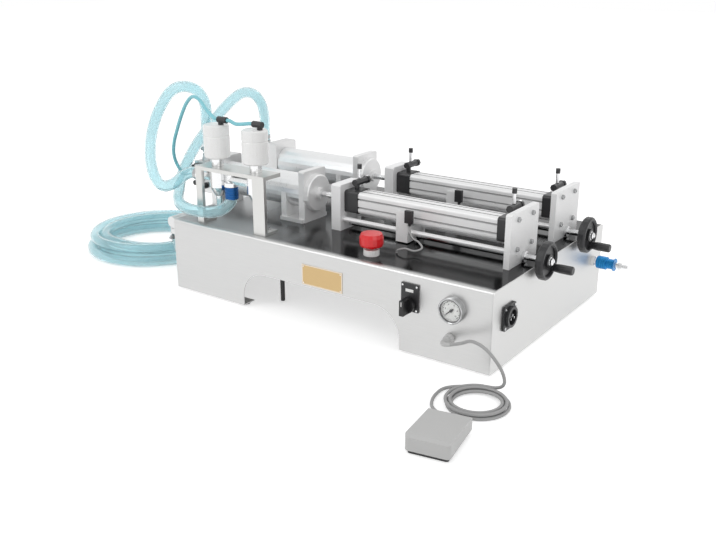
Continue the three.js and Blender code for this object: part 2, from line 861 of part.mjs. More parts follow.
// A nozzle: neck, chamber, cone and spout with a bore for the stem, and an inlet arm to the left.
function nozzle(x, reach, turnsDown) {
  const top = barBottom - fit;
  const body = turnedZ([
    [nozzleBore, spoutBottom], [spoutRadius, spoutBottom], [spoutRadius, coneBottom],
    [chamberRadius, chamberBottom], [chamberRadius, top], [neckRadius, top],
    [neckRadius, neckTop], [nozzleBore, neckTop], [nozzleBore, spoutBottom],
  ], x, nozzleY);
  const end = x - reach;
  const armRoot = x - (nozzleBore + chamberRadius) / 2;
  if (turnsDown) {
    return join(
      body,
      rodX(armRadius, end, armRoot, nozzleY, armZ),
      rodZ(armRadius, dropEnd, armZ + armRadius, end, nozzleY),
      rodZ(clampRadius, dropEnd, dropEnd + clampLength - fit, end, nozzleY, roundSides),
    );
  }
  return join(
    body,
    rodX(armRadius, end, armRoot, nozzleY, armZ),
    rodX(clampRadius, end, end + clampLength, nozzleY, armZ, roundSides),
  );
}

function stem(x) {
  return turnedZ([
    [0, spoutBottom - stemLow], [stemPlug, spoutBottom - stemLow + stemRadius],
    [stemPlug, spoutBottom + stemLow], [stemRadius, spoutBottom + stemLow], [stemRadius, stemTop],
    [0, stemTop],
  ], x, nozzleY, smallSides);
}

// An actuator: a can with a grooved lid, and a push-in elbow on top that faces the other can.
function actuator(x, facing) {
  const lid = canTop - canLid;
  const can = turnedZ([
    [0, canBottom], [canRadius - canRim, canBottom], [canRadius, canBottom + canRim],
    [canRadius, lid - canGroove], [canRadius - canGroove / 2, lid], [canRadius, lid + canGroove],
    [canRadius, canTop - canRim], [canRadius - canRim, canTop], [0, canTop],
  ], x, nozzleY, largeSides);
  const portAt = x + airPortOffset;
  const near = portAt - elbowRadius;
  const far = portAt + elbowRadius;
  const elbow = facing > 0
    ? rodX(elbowRadius, near, far + elbowLength, nozzleY, airPortZ)
    : rodX(elbowRadius, near - elbowLength, far, nozzleY, airPortZ);
  return join(can, rodZ(airPortRadius, canTop - overrun, airPortZ, portAt, nozzleY), elbow);
}

function addNozzles() {
  addTo(deck, 'suction_manifold', manifold(), steel);
  addTo(deck, 'nozzle_stand', nozzleStand(), steel);
  addTo(deck, 'nozzle_1', nozzle(nozzleXs[0], armReaches[0], false), polished);
  addTo(deck, 'nozzle_2', nozzle(nozzleXs[1], armReaches[1], true), polished);
  addTo(deck, 'nozzle_stem_1', stem(nozzleXs[0]), polished);
  addTo(deck, 'nozzle_stem_2', stem(nozzleXs[1]), polished);
  addTo(deck, 'actuator_1', actuator(nozzleXs[0], 1), whiteEnamel);
  addTo(deck, 'actuator_2', actuator(nozzleXs[1], -1), whiteEnamel);
}

// Emergency stop: a collar clamped through the deck, and a mushroom head that pushes down
function estopCollarSolid() {
  const under = -sheet - fit;
  return turnedZ([
    [estopBore, under - shankLength], [estopShank, under - shankLength],
    [estopShank, under - nutThick], [nutRadius, under - nutThick], [nutRadius, under],
    [estopShank, under], [estopShank, fit], [estopCollar, fit], [estopCollar, estopCollarTop - fit],
    [estopBore, estopCollarTop - fit], [estopBore, under - shankLength],
  ], estopX, estopY);
}

function estopHeadSolid() {
  const shaft = estopBore - fit;
  const neck = estopCollarTop + estopTravel;
  const dome = estopHeadTop - neck;
  const profile = estopHeadShares.map(([out, up]) => [estopHeadRadius * out, neck + dome * up]);
  return turnedZ([
    [0, -overrun], [shaft, -overrun], [shaft, neck - fit], [estopNeck, neck - fit], ...profile,
    [0, estopHeadTop],
  ], estopX, estopY);
}

// Selector switch on the front panel
function selectorPlate() {
  const [w, h] = [selectorWidth / 2, selectorHeight / 2];
  const plate = box(
    selectorX - w, selectorX + w, -selectorThick - fit, -fit, selectorZ - h, selectorZ + h,
  );
  const shank = rodY(switchShank, -selectorThick, shankLength, selectorX, knobZ);
  const bore = rodY(switchShank / 2, -overrun - selectorThick, overrun * 2, selectorX, knobZ);
  return cut(join(plate, shank), bore);
}

function selectorKnob() {
  const face = -selectorThick - 2 * fit;
  const outer = face - selectorKnobLength;
  return join(
    rodY(selectorKnobRadius, outer, face, selectorX, knobZ, roundSides),
    box(
      selectorX - fingerWidth / 2, selectorX + fingerWidth / 2, outer - fingerLength, outer + overrun,
      knobZ - selectorKnobRadius, knobZ + selectorKnobRadius,
    ),
    rodY(switchShank / 2 - fit, face - overrun, overrun, selectorX, knobZ),
  );
}

// Pressure gauge: a cup with a bezel, and a needle on a spindle in front of the dial
function gaugeCase() {
  const dial = gaugeProud - gaugeDial;
  const rim = gaugeRadius - gaugeBezel;
  return turnedFront([
    [0, -shankLength], [gaugeBody, -shankLength], [gaugeBody, fit], [gaugeRadius, fit],
    [gaugeRadius, gaugeProud - sheet], [gaugeRadius - sheet, gaugeProud], [rim, gaugeProud],
    [rim, dial], [gaugeSpindle + fit, dial], [gaugeSpindle + fit, dial - overrun],
    [0, dial - overrun],
  ], gaugeX, gaugeZ, largeSides);
}

function gaugeNeedle() {
  const dial = -(gaugeProud - gaugeDial);
  const y1 = dial - needleLift + fit;
  const y0 = y1 - needleThick;
  const blade = prismY(outlineOf([
    [-needleHalf, -needleTail], [needleHalf, -needleTail], [needleHalf / 3, needleLong],
    [-needleHalf / 3, needleLong],
  ]), y0, y1);
  const needle = join(
    blade,
    rodY(needleHub, y0 - fit, y1, 0, 0),
    rodY(gaugeSpindle, y0, dial + overrun - fit, 0, 0),
  );
  return needle.rotateY(THREE.MathUtils.degToRad(-needleDegrees)).translate(gaugeX, 0, gaugeZ);
}

function gland() {
  return turnedFront([
    [0, -shankLength / 2], [glandShank, -shankLength / 2], [glandShank, fit], [glandHex, fit],
    [glandHex, glandHexLength], [glandDome, glandHexLength + sheet], [glandDome, glandLength - overrun],
    [glandDome - sheet, glandLength], [0, glandLength],
  ], glandX, glandZ, smallSides + 2);
}

function sideSocket() {
  const face = cabinetWidth + fit;
  const half = socketSide / 2;
  const flange = prismX(roundedOutline(socketSide, socketSide, capRadius), face, face + socketPlate);
  const shell = join(
    flange.translate(0, socketY, socketZ),
    rodX(socketRing, face, face + socketProud, socketY, socketZ, roundSides),
    rodX(socketBody, face - half, face + sheet, socketY, socketZ, roundSides),
  );
  const mouth = face + socketProud - socketDepth;
  return cut(shell, rodX(socketRecess, mouth, face + socketProud + overrun, socketY, socketZ, roundSides));
}

function inletNipple() {
  const face = cabinetWidth + fit;
  const collar = cabinetWidth + inletCollarReach;
  const end = cabinetWidth + inletReach;
  return turnedX([
    [0, face - shankLength / 2], [inletStem, face - shankLength / 2], [inletStem, face], [inletHex, face],
    [inletHex, face + inletHexLength], [inletStem, face + inletHexLength], [inletStem, collar],
    [inletCollar, collar], [inletCollar, collar + overrun], [inletTail, collar + overrun],
    [inletTail, end], [0, end],
  ], inletY, inletZ, roundSides);
}

function inletSleeve() {
  const bore = inletStem + fit;
  const [left, right] = [cabinetWidth + sleeveStart, cabinetWidth + sleeveEnd];
  const step = (left + right) / 2;
  return turnedX([
    [bore, left], [sleeveRadius - sheet, left], [sleeveRadius, left + sheet],
    [sleeveRadius, step + sheet], [sleeveStep, step + 2 * sheet],
    [sleeveStep, right - 2 * sheet], [sleeveRadius, right - sheet],
    [sleeveRadius, right], [bore, right], [bore, left],
  ], inletY, inletZ);
}

function addControls() {
  addTo(deck, 'estop_collar', estopCollarSolid(), aluminium);
  addTo(deck, 'estop_head', estopHeadSolid(), redPlastic);
  addTo(machine, 'selector_plate', selectorPlate(), blackPlastic);
  addTo(machine, 'selector_knob', selectorKnob(), blackPlastic);
  addTo(machine, 'gauge_case', gaugeCase(), polished);
  addTo(machine, 'gauge_needle', gaugeNeedle(), blackPlastic);
  addTo(machine, 'cable_gland', gland(), greyPlastic);
  addTo(machine, 'side_socket', sideSocket(), blackPlastic);
  addTo(machine, 'inlet_nipple', inletNipple(), steel);
  addTo(machine, 'inlet_sleeve', inletSleeve(), blueAnodised);
}

// Foot pedal, drawn from its front left corner: X across, Y to its rear
function footprint(x0, x1, y0, y1, radius) {
  const points = roundedOutline(x1 - x0, y1 - y0, radius).getPoints(arcSteps);
  const [x, y] = [(x0 + x1) / 2, (y0 + y1) / 2];
  return new THREE.Shape(points.map((p) => new THREE.Vector2(p.x + x, p.y + y)));
}

function pedalBase() {
  const [left, right, front] = [pedalInset, pedalWidth - pedalInset, pedalInset];
  const [back, wall] = [pedalDepth, pedalWall];
  const tray = prismZ(footprint(left, right, front, back, pedalCorner - wall), 0, pedalRim);
  const hollow = box(left + wall, right - wall, front + wall, back - wall, wall, pedalRim + overrun);
  const hinge = back - pinBack;
  const cheeks = [left, right - wall].map((x) => (
    box(x, x + wall, hinge - pinRadius * 2, hinge + pinRadius * 2, wall, pinZ + pinRadius * 2)
  ));
  const pin = rodX(pinRadius, left + wall / 2, right - wall / 2, hinge, pinZ);
  const boss = rodY(pedalBoss, back - wall, back + pedalBossLength, pedalBossAcross, pedalBossZ);
  return join(cut(tray, hollow), ...cheeks, pin, boss);
}

// The treadle's side view from a wall's thickness inside its skin, drawn in Y and Z
function treadleSide(inside, bottom, back) {
  const top = treadleTop - inside;
  return outlineOf([
    [inside, bottom], [back, bottom], [back, top - treadleSlope], [pedalDepth / 2, top],
    [treadleLip, top + treadleSlope], [inside, top + treadleSlope - treadleDrop],
  ]);
}

// The treadle is a lid with a skirt at the front and sides, and a tube round the hinge pin.
function treadle() {
  const [w, d, wall] = [pedalWidth, pedalDepth, treadleWall];
  const beyond = d + pedalCorner * 2;
  const skin = common(
    prismX(treadleSide(0, treadleBottom, d), 0, w),
    prismZ(footprint(0, w, 0, beyond, pedalCorner), 0, treadleTop * 2),
  );
  const hollow = common(
    prismX(treadleSide(wall, 0, d + overrun), wall, w - wall),
    prismZ(footprint(wall, w - wall, wall, beyond, pedalCorner - wall), 0, treadleTop * 2),
  );
  const side = pedalInset + pedalWall + fit;
  const hinge = d - pinBack;
  const sleeve = rodX(pinRadius * 2, side, w - side, hinge, pinZ);
  const web = box(
    side, w - side, hinge - pinRadius, hinge + pinRadius, pinZ, treadleTop - treadleSlope - wall / 2,
  );
  const bore = boreX(pinRadius, side - fit, w - side + fit, hinge, pinZ);
  return cut(join(cut(skin, hollow), sleeve, web), bore);
}

function addPedal() {
  const pedal = new THREE.Group();
  pedal.position.set(pedalX, pedalY, 0);
  pedal.rotation.z = THREE.MathUtils.degToRad(pedalTurn);
  addTo(pedal, 'pedal_base', pedalBase(), greyPlastic);
  addTo(pedal, 'pedal_treadle', treadle(), greyPlastic);
  rightSide.add(pedal);
}

// A place on the pedal, given across and back from its front left corner
function onPedal(across, back, z) {
  const turn = THREE.MathUtils.degToRad(pedalTurn);
  const x = pedalX + across * Math.cos(turn) - back * Math.sin(turn);
  const y = pedalY + across * Math.sin(turn) + back * Math.cos(turn);
  return [x, y, z];
}

// Hoses and cables
// A tube of one radius along a curve, with square ends.
function tubeAlong(curve, radius, sides, steps) {
  const ring = new THREE.Shape();
  for (let side = 0; side < sides; side += 1) {
    const angle = (side / sides) * Math.PI * 2;
    const point = [Math.cos(angle) * radius, Math.sin(angle) * radius];
    if (side === 0) ring.moveTo(...point);
    else ring.lineTo(...point);
  }
  ring.closePath();
  return new THREE.ExtrudeGeometry(ring, { steps, extrudePath: curve, bevelEnabled: false });
}

function curveThrough(points) {
  const path = points.map(([x, y, z]) => new THREE.Vector3(x, y, z));
  return new THREE.CatmullRomCurve3(path, false, 'centripetal');
}

// A cord's end is a place and the way out of what it meets there.
function endAt(at, out) {
  return { at: new THREE.Vector3(...at), out: new THREE.Vector3(...out).normalize() };
}

// A route through chosen points whose ends run straight out for one diameter.
function routeBetween(start, middle, end, radius) {
  const lead = ({ at, out }) => [0, 1, 2].map((step) => (
    at.clone().addScaledVector(out, step * radius).toArray()
  ));
  return curveThrough([...lead(start), ...middle, ...lead(end).reverse()]);
}

function addCord(group, name, start, middle, end, look) {
  const curve = routeBetween(start, middle, end, look.radius);
  curve.arcLengthDivisions = middle.length * samplesPerPoint;
  const steps = Math.round(curve.getLength() / (2 * look.radius * look.step));
  addTo(group, name, tubeAlong(curve, look.radius, look.sides, steps), look.material);
  cordNames.add(name);
  console.log(`${name}: ${(curve.getLength() / 1000).toFixed(3)} m`);
}

// A cord's look: its radius, its sides, the length of a step in diameters, and its material
const hoseLook = { radius: hoseRadius, sides: tubeSides, step: 1.2, material: paleHose };
const cableLook = { radius: cableRadius, sides: tubeSides, step: 3, material: greyCable };
const airLook = { radius: airTubeRadius, sides: tubeSides, step: 3, material: tealTube };
const leadLook = { radius: leadRadius, sides: tubeSides, step: 3.2, material: greyCable };

// Hose 1 rises from the front valve block, makes the big standing loop and ends at nozzle 1.
function addHoseOne() {
  const outlet = blockTop + outletHeight + fit;
  addCord(deck, 'discharge_hose_1', endAt([outletX, laneYs[0], outlet], [0, 0, 1]), [
    [-47, 166, 186], [-34, 152, 235], [-43, 142, 263], [-68, 128, 274], [-95, 112, 266], [-122, 94, 224],
    [-134, 76, 171], [-126, 58, 120], [-98, 40, 80], [-60, 30, 62], [-28, 36, 71], [-5, 44, 90],
  ], endAt([nozzleXs[0] - armReaches[0] - fit, nozzleY, armZ], [-1, 0, 0]), hoseLook);
}

// Hose 2 rises from the rear valve block, arches forward, hangs before the stand's left post
// and ends at nozzle 2.
function addHoseTwo() {
  const outlet = blockTop + outletHeight + fit;
  addCord(deck, 'discharge_hose_2', endAt([outletX, laneYs[1], outlet], [0, 0, 1]), [
    [-48, 372, 178], [-46, 356, 215], [-51, 332, 237], [-58, 302, 239], [-67, 270, 221], [-79, 240, 193],
    [-86, 208, 163], [-93, 176, 130], [-95, 146, 96], [-84, 112, 66], [-54, 74, 46], [-18, 36, 37],
    [22, 8, 34], [58, -4, 33], [92, -3, 33], [118, 10, 34], [133, 30, 41],
  ], endAt([nozzleXs[1] - armReaches[1], nozzleY, dropEnd - fit], [0, 0, -1]), hoseLook);
}

// Both coils lie in two layers that spiral in and out again, with the drop in between.
const suctionCoil = {
  x: -280, y: 192, outer: 170, pitch: 27, lift: 27, turns: 3.86, startDegrees: 20, sense: 1,
  radius: hoseRadius,
};
const cableCoil = {
  x: 30, y: -106, outer: 56, pitch: 7.5, lift: 7, turns: 4, startDegrees: 94, sense: 1,
  radius: cableRadius,
};

function coilPoint(coil, turns) {
  const inward = Math.min(turns, coil.turns - turns);
  const radius = coil.outer - coil.pitch * inward;
  const halfTurn = 0.5;
  const drop = THREE.MathUtils.clamp((turns - coil.turns / 2) / halfTurn + halfTurn, 0, 1);
  const z = coil.radius + coil.lift * (1 - drop);
  const angle = THREE.MathUtils.degToRad(coil.startDegrees) + coil.sense * turns * Math.PI * 2;
  return new THREE.Vector3(coil.x + radius * Math.cos(angle), coil.y + radius * Math.sin(angle), z);
}

// The centre line of a coil, with a straight end of one diameter at either side.
function coilCentreLine(coil) {
  const nearby = 0.001;
  const points = [];
  const first = coilPoint(coil, 0);
  const entry = first.clone().sub(coilPoint(coil, nearby)).setZ(0).normalize();
  points.push(first.clone().addScaledVector(entry, 2 * coil.radius));
  const count = Math.round(coil.turns * loopSteps);
  for (let i = 0; i <= count; i += 1) points.push(coilPoint(coil, (i / count) * coil.turns));
  const last = coilPoint(coil, coil.turns);
  const exit = last.clone().sub(coilPoint(coil, coil.turns - nearby)).setZ(0).normalize();
  points.push(last.clone().addScaledVector(exit, 2 * coil.radius));
  return points;
}

// The place just beyond a coil's end, and the way out along its straight end
function coilEnd(points, atStart) {
  const [end, inner] = atStart ? [points[0], points[1]] : [points.at(-1), points.at(-2)];
  const out = end.clone().sub(inner).normalize();
  return { at: end.clone().addScaledVector(out, fit), out };
}

// One unbroken tube whose rings stand square to the line and upright; the lowest side is flat.
function ringTube(points, radius, sides) {
  const positions = [];
  const index = [];
  const up = new THREE.Vector3(0, 0, 1);
  points.forEach((point, i) => {
    const before = points[Math.max(i - 1, 0)];
    const after = points[Math.min(i + 1, points.length - 1)];
    const along = after.clone().sub(before).normalize();
    const across = new THREE.Vector3().crossVectors(along, up).normalize();
    const lift = new THREE.Vector3().crossVectors(across, along).normalize();
    for (let side = 0; side < sides; side += 1) {
      const angle = ((side + 0.5) / sides) * Math.PI * 2;
      const spot = point.clone().addScaledVector(across, Math.cos(angle) * radius);
      spot.addScaledVector(lift, Math.sin(angle) * radius);
      positions.push(spot.x, spot.y, spot.z);
    }
  });
  for (let i = 0; i < points.length - 1; i += 1) {
    for (let side = 0; side < sides; side += 1) {
      const next = (side + 1) % sides;
      const [a, b] = [i * sides + side, i * sides + next];
      const [c, d] = [a + sides, b + sides];
      index.push(a, b, d, a, d, c);
    }
  }
  const lastRing = (points.length - 1) * sides;
  for (let side = 1; side < sides - 1; side += 1) {
    index.push(0, side + 1, side);
    index.push(lastRing, lastRing + side, lastRing + side + 1);
  }
  const geometry = new THREE.BufferGeometry();
  geometry.setAttribute('position', new THREE.Float32BufferAttribute(positions, 3));
  geometry.setIndex(index);
  return facingOut(geometry);
}

// Turns every face round if the solid's volume comes out negative.
function facingOut(geometry) {
  const position = geometry.attributes.position;
  const index = Array.from(geometry.index.array);
  const [a, b, c] = [new THREE.Vector3(), new THREE.Vector3(), new THREE.Vector3()];
  let volume = 0;
  for (let i = 0; i < index.length; i += 3) {
    a.fromBufferAttribute(position, index[i]);
    b.fromBufferAttribute(position, index[i + 1]);
    c.fromBufferAttribute(position, index[i + 2]);
    volume += a.dot(b.cross(c));
  }
  if (volume < 0) index.reverse();
  geometry.setIndex(index);
  return geometry;
}

// The least distance between parts of a line that lie more than half a turn apart, less a diameter
function leastSelfGap(points, radius, apart) {
  let least = Infinity;
  for (let i = 0; i < points.length; i += 1) {
    for (let j = i + apart; j < points.length; j += 1) {
      least = Math.min(least, points[i].distanceTo(points[j]));
    }
  }
  return least - 2 * radius;
}

function lengthOf(points) {
  let total = 0;
  for (let i = 1; i < points.length; i += 1) total += points[i].distanceTo(points[i - 1]);
  return total;
}

function addCoil(group, name, points, radius, sides, material) {
  addTo(group, name, ringTube(points, radius, sides), material);
  cordNames.add(name);
  const gap = leastSelfGap(points, radius, loopSteps / 2);
  console.log(`${name}: ${(lengthOf(points) / 1000).toFixed(3)} m, least gap ${gap.toFixed(2)} mm`);
}

function addSuctionHose() {
  const coil = coilCentreLine(suctionCoil);
  addCoil(machine, 'suction_coil', coil, hoseRadius, loopSides, paleHose);
  const outlet = cabinetHeight + dropBottom - fit;
  addCord(machine, 'suction_hose', endAt([riserX, manifoldFront, outlet], [0, 0, -1]), [
    [-42, 60, 62], [-62, 100, 46],
  ], coilEnd(coil, true), hoseLook);
}

// The pedal's cable arches out of its gland, drops to its coil and runs round it to the pedal.
function addPedalCable() {
  const coil = coilCentreLine(cableCoil);
  addCoil(rightSide, 'pedal_cable_coil', coil, cableRadius, loopSides, greyCable);
  addCord(rightSide, 'pedal_cable', endAt([-glandSetback, -glandLength - fit, glandZ], [0, -1, 0]), [
    [-76, -34, 59], [-59, -36, 64], [-41, -35, 71], [-23, -40, 81], [-8, -46, 84], [8, -50, 82],
    [23, -53, 75], [37, -54, 63], [47, -53, 49], [52, -51, 34], [51, -50, 21],
  ], coilEnd(coil, true), cableLook);
  const reach = pedalDepth + pedalBossLength + fit;
  const turn = THREE.MathUtils.degToRad(pedalTurn);
  const boss = onPedal(pedalBossAcross, reach, pedalBossZ);
  addCord(rightSide, 'pedal_cable_end', coilEnd(coil, false), [
    [2, -53, 3], [-26, -66, 3], [-44, -88, 3], [-45, -114, 3], [-38, -140, 3], [-26, -160, 4],
    [-10, -173, 6], [3, -183, 8],
  ], endAt(boss, [-Math.sin(turn), Math.cos(turn), 0]), cableLook);
}

// A thin air tube links the actuators, and another feeds them from the front valve block.
function addAirTubes() {
  const reach = elbowRadius + elbowLength;
  const left = nozzleXs[0] + airPortOffset + reach + fit;
  const right = nozzleXs[1] + airPortOffset - reach - fit;
  addCord(deck, 'air_link', endAt([left, nozzleY, airPortZ], [1, 0, 0]), [
    [(left + right) / 2, nozzleY - airTubeRadius, airPortZ - airTubeRadius],
  ], endAt([right, nozzleY, airPortZ], [-1, 0, 0]), airLook);
  const feed = nozzleXs[0] + airPortOffset - elbowRadius - fit;
  const pilot = laneYs[0] - blockHalf - pilotLength - fit;
  addCord(deck, 'air_feed', endAt([feed, nozzleY, airPortZ], [-1, 0, 0]), [
    [74, 50, 243], [46, 56, 263], [20, 62, 266], [-6, 68, 249], [-32, 74, 217], [-55, 80, 182],
    [-73, 86, 153], [-84, 92, 124], [-84, 100, 96], [-70, 108, 74],
  ], endAt([pilotX, pilot, pilotZ], [0, -1, 0]), airLook);
}

// The front lane's sensor lead bows out over the deck and goes down through it.
function addSensorLead() {
  const nearby = new THREE.Group();
  nearby.position.x = sensorPortX();
  deck.add(nearby);
  const sensorY = laneYs[0] - carriageHalf - sensorSetout;
  const port = [0, sensorY, sensorBottom - leadPortLength - fit];
  addCord(nearby, 'sensor_lead', endAt(port, [0, 0, -1]), [
    [14, 130, 23], [38, 118, 19], [52, 106, 13], [42, 96, 8], [22, 90, 11],
  ], endAt([leadExitShift, leadExitY, fit], [0, 0, 1]), leadLook);
}

function addHoses() {
  addHoseOne();
  addHoseTwo();
  addSuctionHose();
  addPedalCable();
  addAirTubes();
  addSensorLead();
}

addCabinet();
laneYs.forEach((_, index) => addLane(index));
addNozzles();
addControls();
addPedal();
addHoses();

// The origin is the bottom centre of the machine and its pedal, without the loose cords.
function placeOrigin() {
  machine.updateMatrixWorld(true);
  const bounds = new THREE.Box3();
  machine.traverse((node) => {
    if (node.isMesh && !cordNames.has(node.name)) bounds.expandByObject(node, true);
  });
  const centre = bounds.getCenter(new THREE.Vector3());
  machine.position.set(-centre.x, -centre.y, -bounds.min.z);
  console.log(`origin at ${centre.x.toFixed(3)}, ${centre.y.toFixed(3)} in drawing coordinates`);
}

placeOrigin();

export default machine;
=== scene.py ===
# %% [markdown]
# The object is a bench-top liquid filling machine: a folded steel cabinet that carries two
# lanes, each a filling cylinder driven by an air cylinder, with nozzles, clear hoses and a foot
# pedal. Its solids come from a CAD model, which is loaded as a frame that never moves. This
# lesson adds what a CAD model leaves out: real hoses and cables, finishes, screws and fittings.

import math

import bmesh
import bpy
from mathutils import Matrix, Vector


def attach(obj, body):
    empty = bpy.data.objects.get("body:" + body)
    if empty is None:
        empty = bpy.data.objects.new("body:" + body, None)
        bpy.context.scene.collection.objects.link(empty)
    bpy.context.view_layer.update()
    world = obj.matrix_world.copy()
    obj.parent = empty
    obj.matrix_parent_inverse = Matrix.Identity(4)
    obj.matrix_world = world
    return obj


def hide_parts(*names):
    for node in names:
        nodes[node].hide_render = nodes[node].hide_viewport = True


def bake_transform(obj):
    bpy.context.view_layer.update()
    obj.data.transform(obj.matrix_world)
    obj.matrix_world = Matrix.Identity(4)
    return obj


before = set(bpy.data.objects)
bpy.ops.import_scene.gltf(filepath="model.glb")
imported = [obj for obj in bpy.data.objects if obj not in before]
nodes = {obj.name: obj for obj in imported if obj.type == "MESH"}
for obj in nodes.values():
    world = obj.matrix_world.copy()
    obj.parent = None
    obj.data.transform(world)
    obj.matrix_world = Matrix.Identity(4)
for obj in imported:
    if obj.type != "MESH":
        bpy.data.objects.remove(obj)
scene = bpy.context.scene
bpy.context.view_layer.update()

# %% [markdown]
# The CAD model is drawn in millimetres, from the cabinet's front left corner on the floor. The
# scene is in metres about the model's middle, so one small function turns a drawn place into a
# scene place, and every number below can be read as in the drawing. The deck's height, the two
# lanes, their axis and the outer face of the right plates are needed often, so they have names.

# %% From the drawing to the scene
DRAWING_ORIGIN = Vector((403.875, 107.055, 0.0))
MM = 0.001
DECK = 165.0
LANES = (179.92, 383.76)
LANE_AXIS = DECK + 63.0
PLATE_FACE = 768.2
UP, DOWN, LEFT, RIGHT, FRONT = (0, 0, 1), (0, 0, -1), (-1, 0, 0), (1, 0, 0), (0, -1, 0)


def place(x, y, z):
    """A place on the drawing, in millimetres, as a place in the scene, in metres."""
    return (Vector((x, y, z)) - DRAWING_ORIGIN) * MM


print("the drawing's corner lies at", place(0, 0, 0))

# %% [markdown]
# The camera stands in front, to the right and a little above, as a photographer would stand to
# show the front, the top and the right end at once. The lens is a normal one, and the camera is
# nearly two metres away, which leaves a little perspective.

# %% Camera
CAMERA_AT = (1435.97, -1306.46, 712.47)
CAMERA_DIPS, CAMERA_TURNS = 19.424, 35.398
LENS, SENSOR = 44.195, 36.0
camera_data = bpy.data.cameras.new("studio_camera")
camera_data.lens, camera_data.sensor_width = LENS, SENSOR
camera = bpy.data.objects.new("studio_camera", camera_data)
camera.location = place(*CAMERA_AT)
camera.rotation_euler = (math.radians(90 - CAMERA_DIPS), 0.0, math.radians(CAMERA_TURNS))
scene.collection.objects.link(camera)
scene.camera = camera
print("camera at", camera.location)

# %% [markdown]
# A hose is a fixed length of something round that bends. It is drawn as a line through chosen
# places, and a centripetal curve is used because it never loops or overshoots between places
# that stand at unequal distances. Even spacing afterwards keeps the bends smooth.

# %% A smooth line through chosen places


def share(a, b, start, end, t):
    """The place on the straight line from a to b that belongs to t between start and end."""
    return a + (b - a) * ((t - start) / (end - start))


def smooth_line(places, steps=24):
    """A centripetal curve through the places, with so many steps between each two."""
    ends = [2 * places[0] - places[1], *places, 2 * places[-1] - places[-2]]
    line = []
    for a, b, c, d in zip(ends, ends[1:], ends[2:], ends[3:]):
        t0 = 0.0
        t1 = t0 + (b - a).length ** 0.5
        t2 = t1 + (c - b).length ** 0.5
        t3 = t2 + (d - c).length ** 0.5
        for step in range(steps):
            t = t1 + (t2 - t1) * step / steps
            first = share(a, b, t0, t1, t)
            middle = share(b, c, t1, t2, t)
            last = share(c, d, t2, t3, t)
            before, after = share(first, middle, t0, t2, t), share(middle, last, t1, t3, t)
            line.append(share(before, after, t1, t2, t))
    return [*line, places[-1]]


def line_length(line):
    return sum((b - a).length for a, b in zip(line, line[1:]))


def evenly(line, count):
    """The same line as count places at equal distances along it."""
    gap = line_length(line) / (count - 1)
    spots, walked = [line[0]], 0.0
    for a, b in zip(line, line[1:]):
        step = (b - a).length
        while len(spots) < count - 1 and walked + step >= gap * len(spots):
            spots.append(a.lerp(b, (gap * len(spots) - walked) / step))
        walked += step
    return [*spots, line[-1]]


test_line = evenly(smooth_line([place(0, 0, 0), place(50, 20, 0), place(100, 0, 0)]), 9)
print("a test line is", round(line_length(test_line), 4), "m long")

# %% [markdown]
# Each hose or cable runs straight out of its fitting for one diameter before it bends, because a
# clamp or a collet holds it there. A drawn cord is a Bezier curve with a round bevel. The bevel
# is one metre and each point's radius scales it down, so a cord can also taper along its way.

# %% Lay a cord


def straight_end(at, out, radius):
    """Three places that leave a fitting at the place at, in the direction out."""
    return [place(*at) + Vector(out).normalized() * radius * step * MM for step in (0, 1, 2)]


def lay_cord(name, line, radius, sides=16, taper=None):
    """A round cord along a line; taper gives a radius of its own to each point."""
    curve = bpy.data.curves.new(name, "CURVE")
    curve.dimensions = "3D"
    curve.bevel_depth = 1.0
    curve.bevel_resolution = sides // 4
    curve.resolution_u = 5
    curve.use_fill_caps = True
    spline = curve.splines.new("BEZIER")
    spline.bezier_points.add(len(line) - 1)
    spline.use_smooth = True
    for knot, spot, size in zip(spline.bezier_points, line, taper or [radius] * len(line)):
        knot.co = spot
        knot.radius = size * MM
        knot.handle_left_type = knot.handle_right_type = "AUTO"
    cord = bpy.data.objects.new(name, curve)
    scene.collection.objects.link(cord)
    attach(cord, "machine")
    print(name, "has", len(line), "points")
    return cord


def routed(start, middle, end, radius, count):
    """A cord's line from one fitting to another, and its length."""
    line = smooth_line([
        *straight_end(*start, radius),
        *[place(*spot) for spot in middle],
        *reversed(straight_end(*end, radius)),
    ])
    return evenly(line, count), line_length(line)


# %% [markdown]
# Two thick clear hoses carry the liquid from the valve blocks to the nozzles. The front one makes
# the big standing loop at the left. The rear one arches forward over the manifold, dips in front
# of the nozzle stand and rises into the second nozzle.

# %% Discharge hoses
HOSE = 13.0
OUTLET_X, OUTLET_Z = -58, 276.3
NOZZLE_Y = 46
hose_1_line, hose_1_length = routed(
    ((OUTLET_X, LANES[0], OUTLET_Z), UP),
    [
        (-47, 166, 351), (-34, 152, 400), (-43, 142, 428), (-68, 128, 439), (-95, 112, 431),
        (-122, 94, 389), (-134, 76, 336), (-126, 58, 285), (-98, 40, 245), (-60, 30, 227),
        (-28, 36, 236), (-5, 44, 255),
    ],
    ((44.7, NOZZLE_Y, 266), LEFT), HOSE, 34,
)
hose_1 = lay_cord("hose_front", hose_1_line, HOSE, 24)
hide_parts("discharge_hose_1")

hose_2_line, hose_2_length = routed(
    ((OUTLET_X, LANES[1], OUTLET_Z), UP),
    [
        (-48, 372, 343), (-46, 356, 380), (-51, 332, 402), (-58, 302, 404), (-67, 270, 386),
        (-79, 240, 358), (-86, 208, 328), (-93, 176, 295), (-95, 146, 261), (-84, 112, 231),
        (-54, 74, 211), (-18, 36, 202), (22, 8, 199), (58, -4, 198), (92, -3, 198),
        (118, 10, 199), (133, 30, 206),
    ],
    ((139, NOZZLE_Y, 250.7), DOWN), HOSE, 40,
)
hose_2 = lay_cord("hose_rear", hose_2_line, HOSE, 24)
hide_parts("discharge_hose_2")
print("hose lengths", round(hose_1_length, 3), round(hose_2_length, 3))

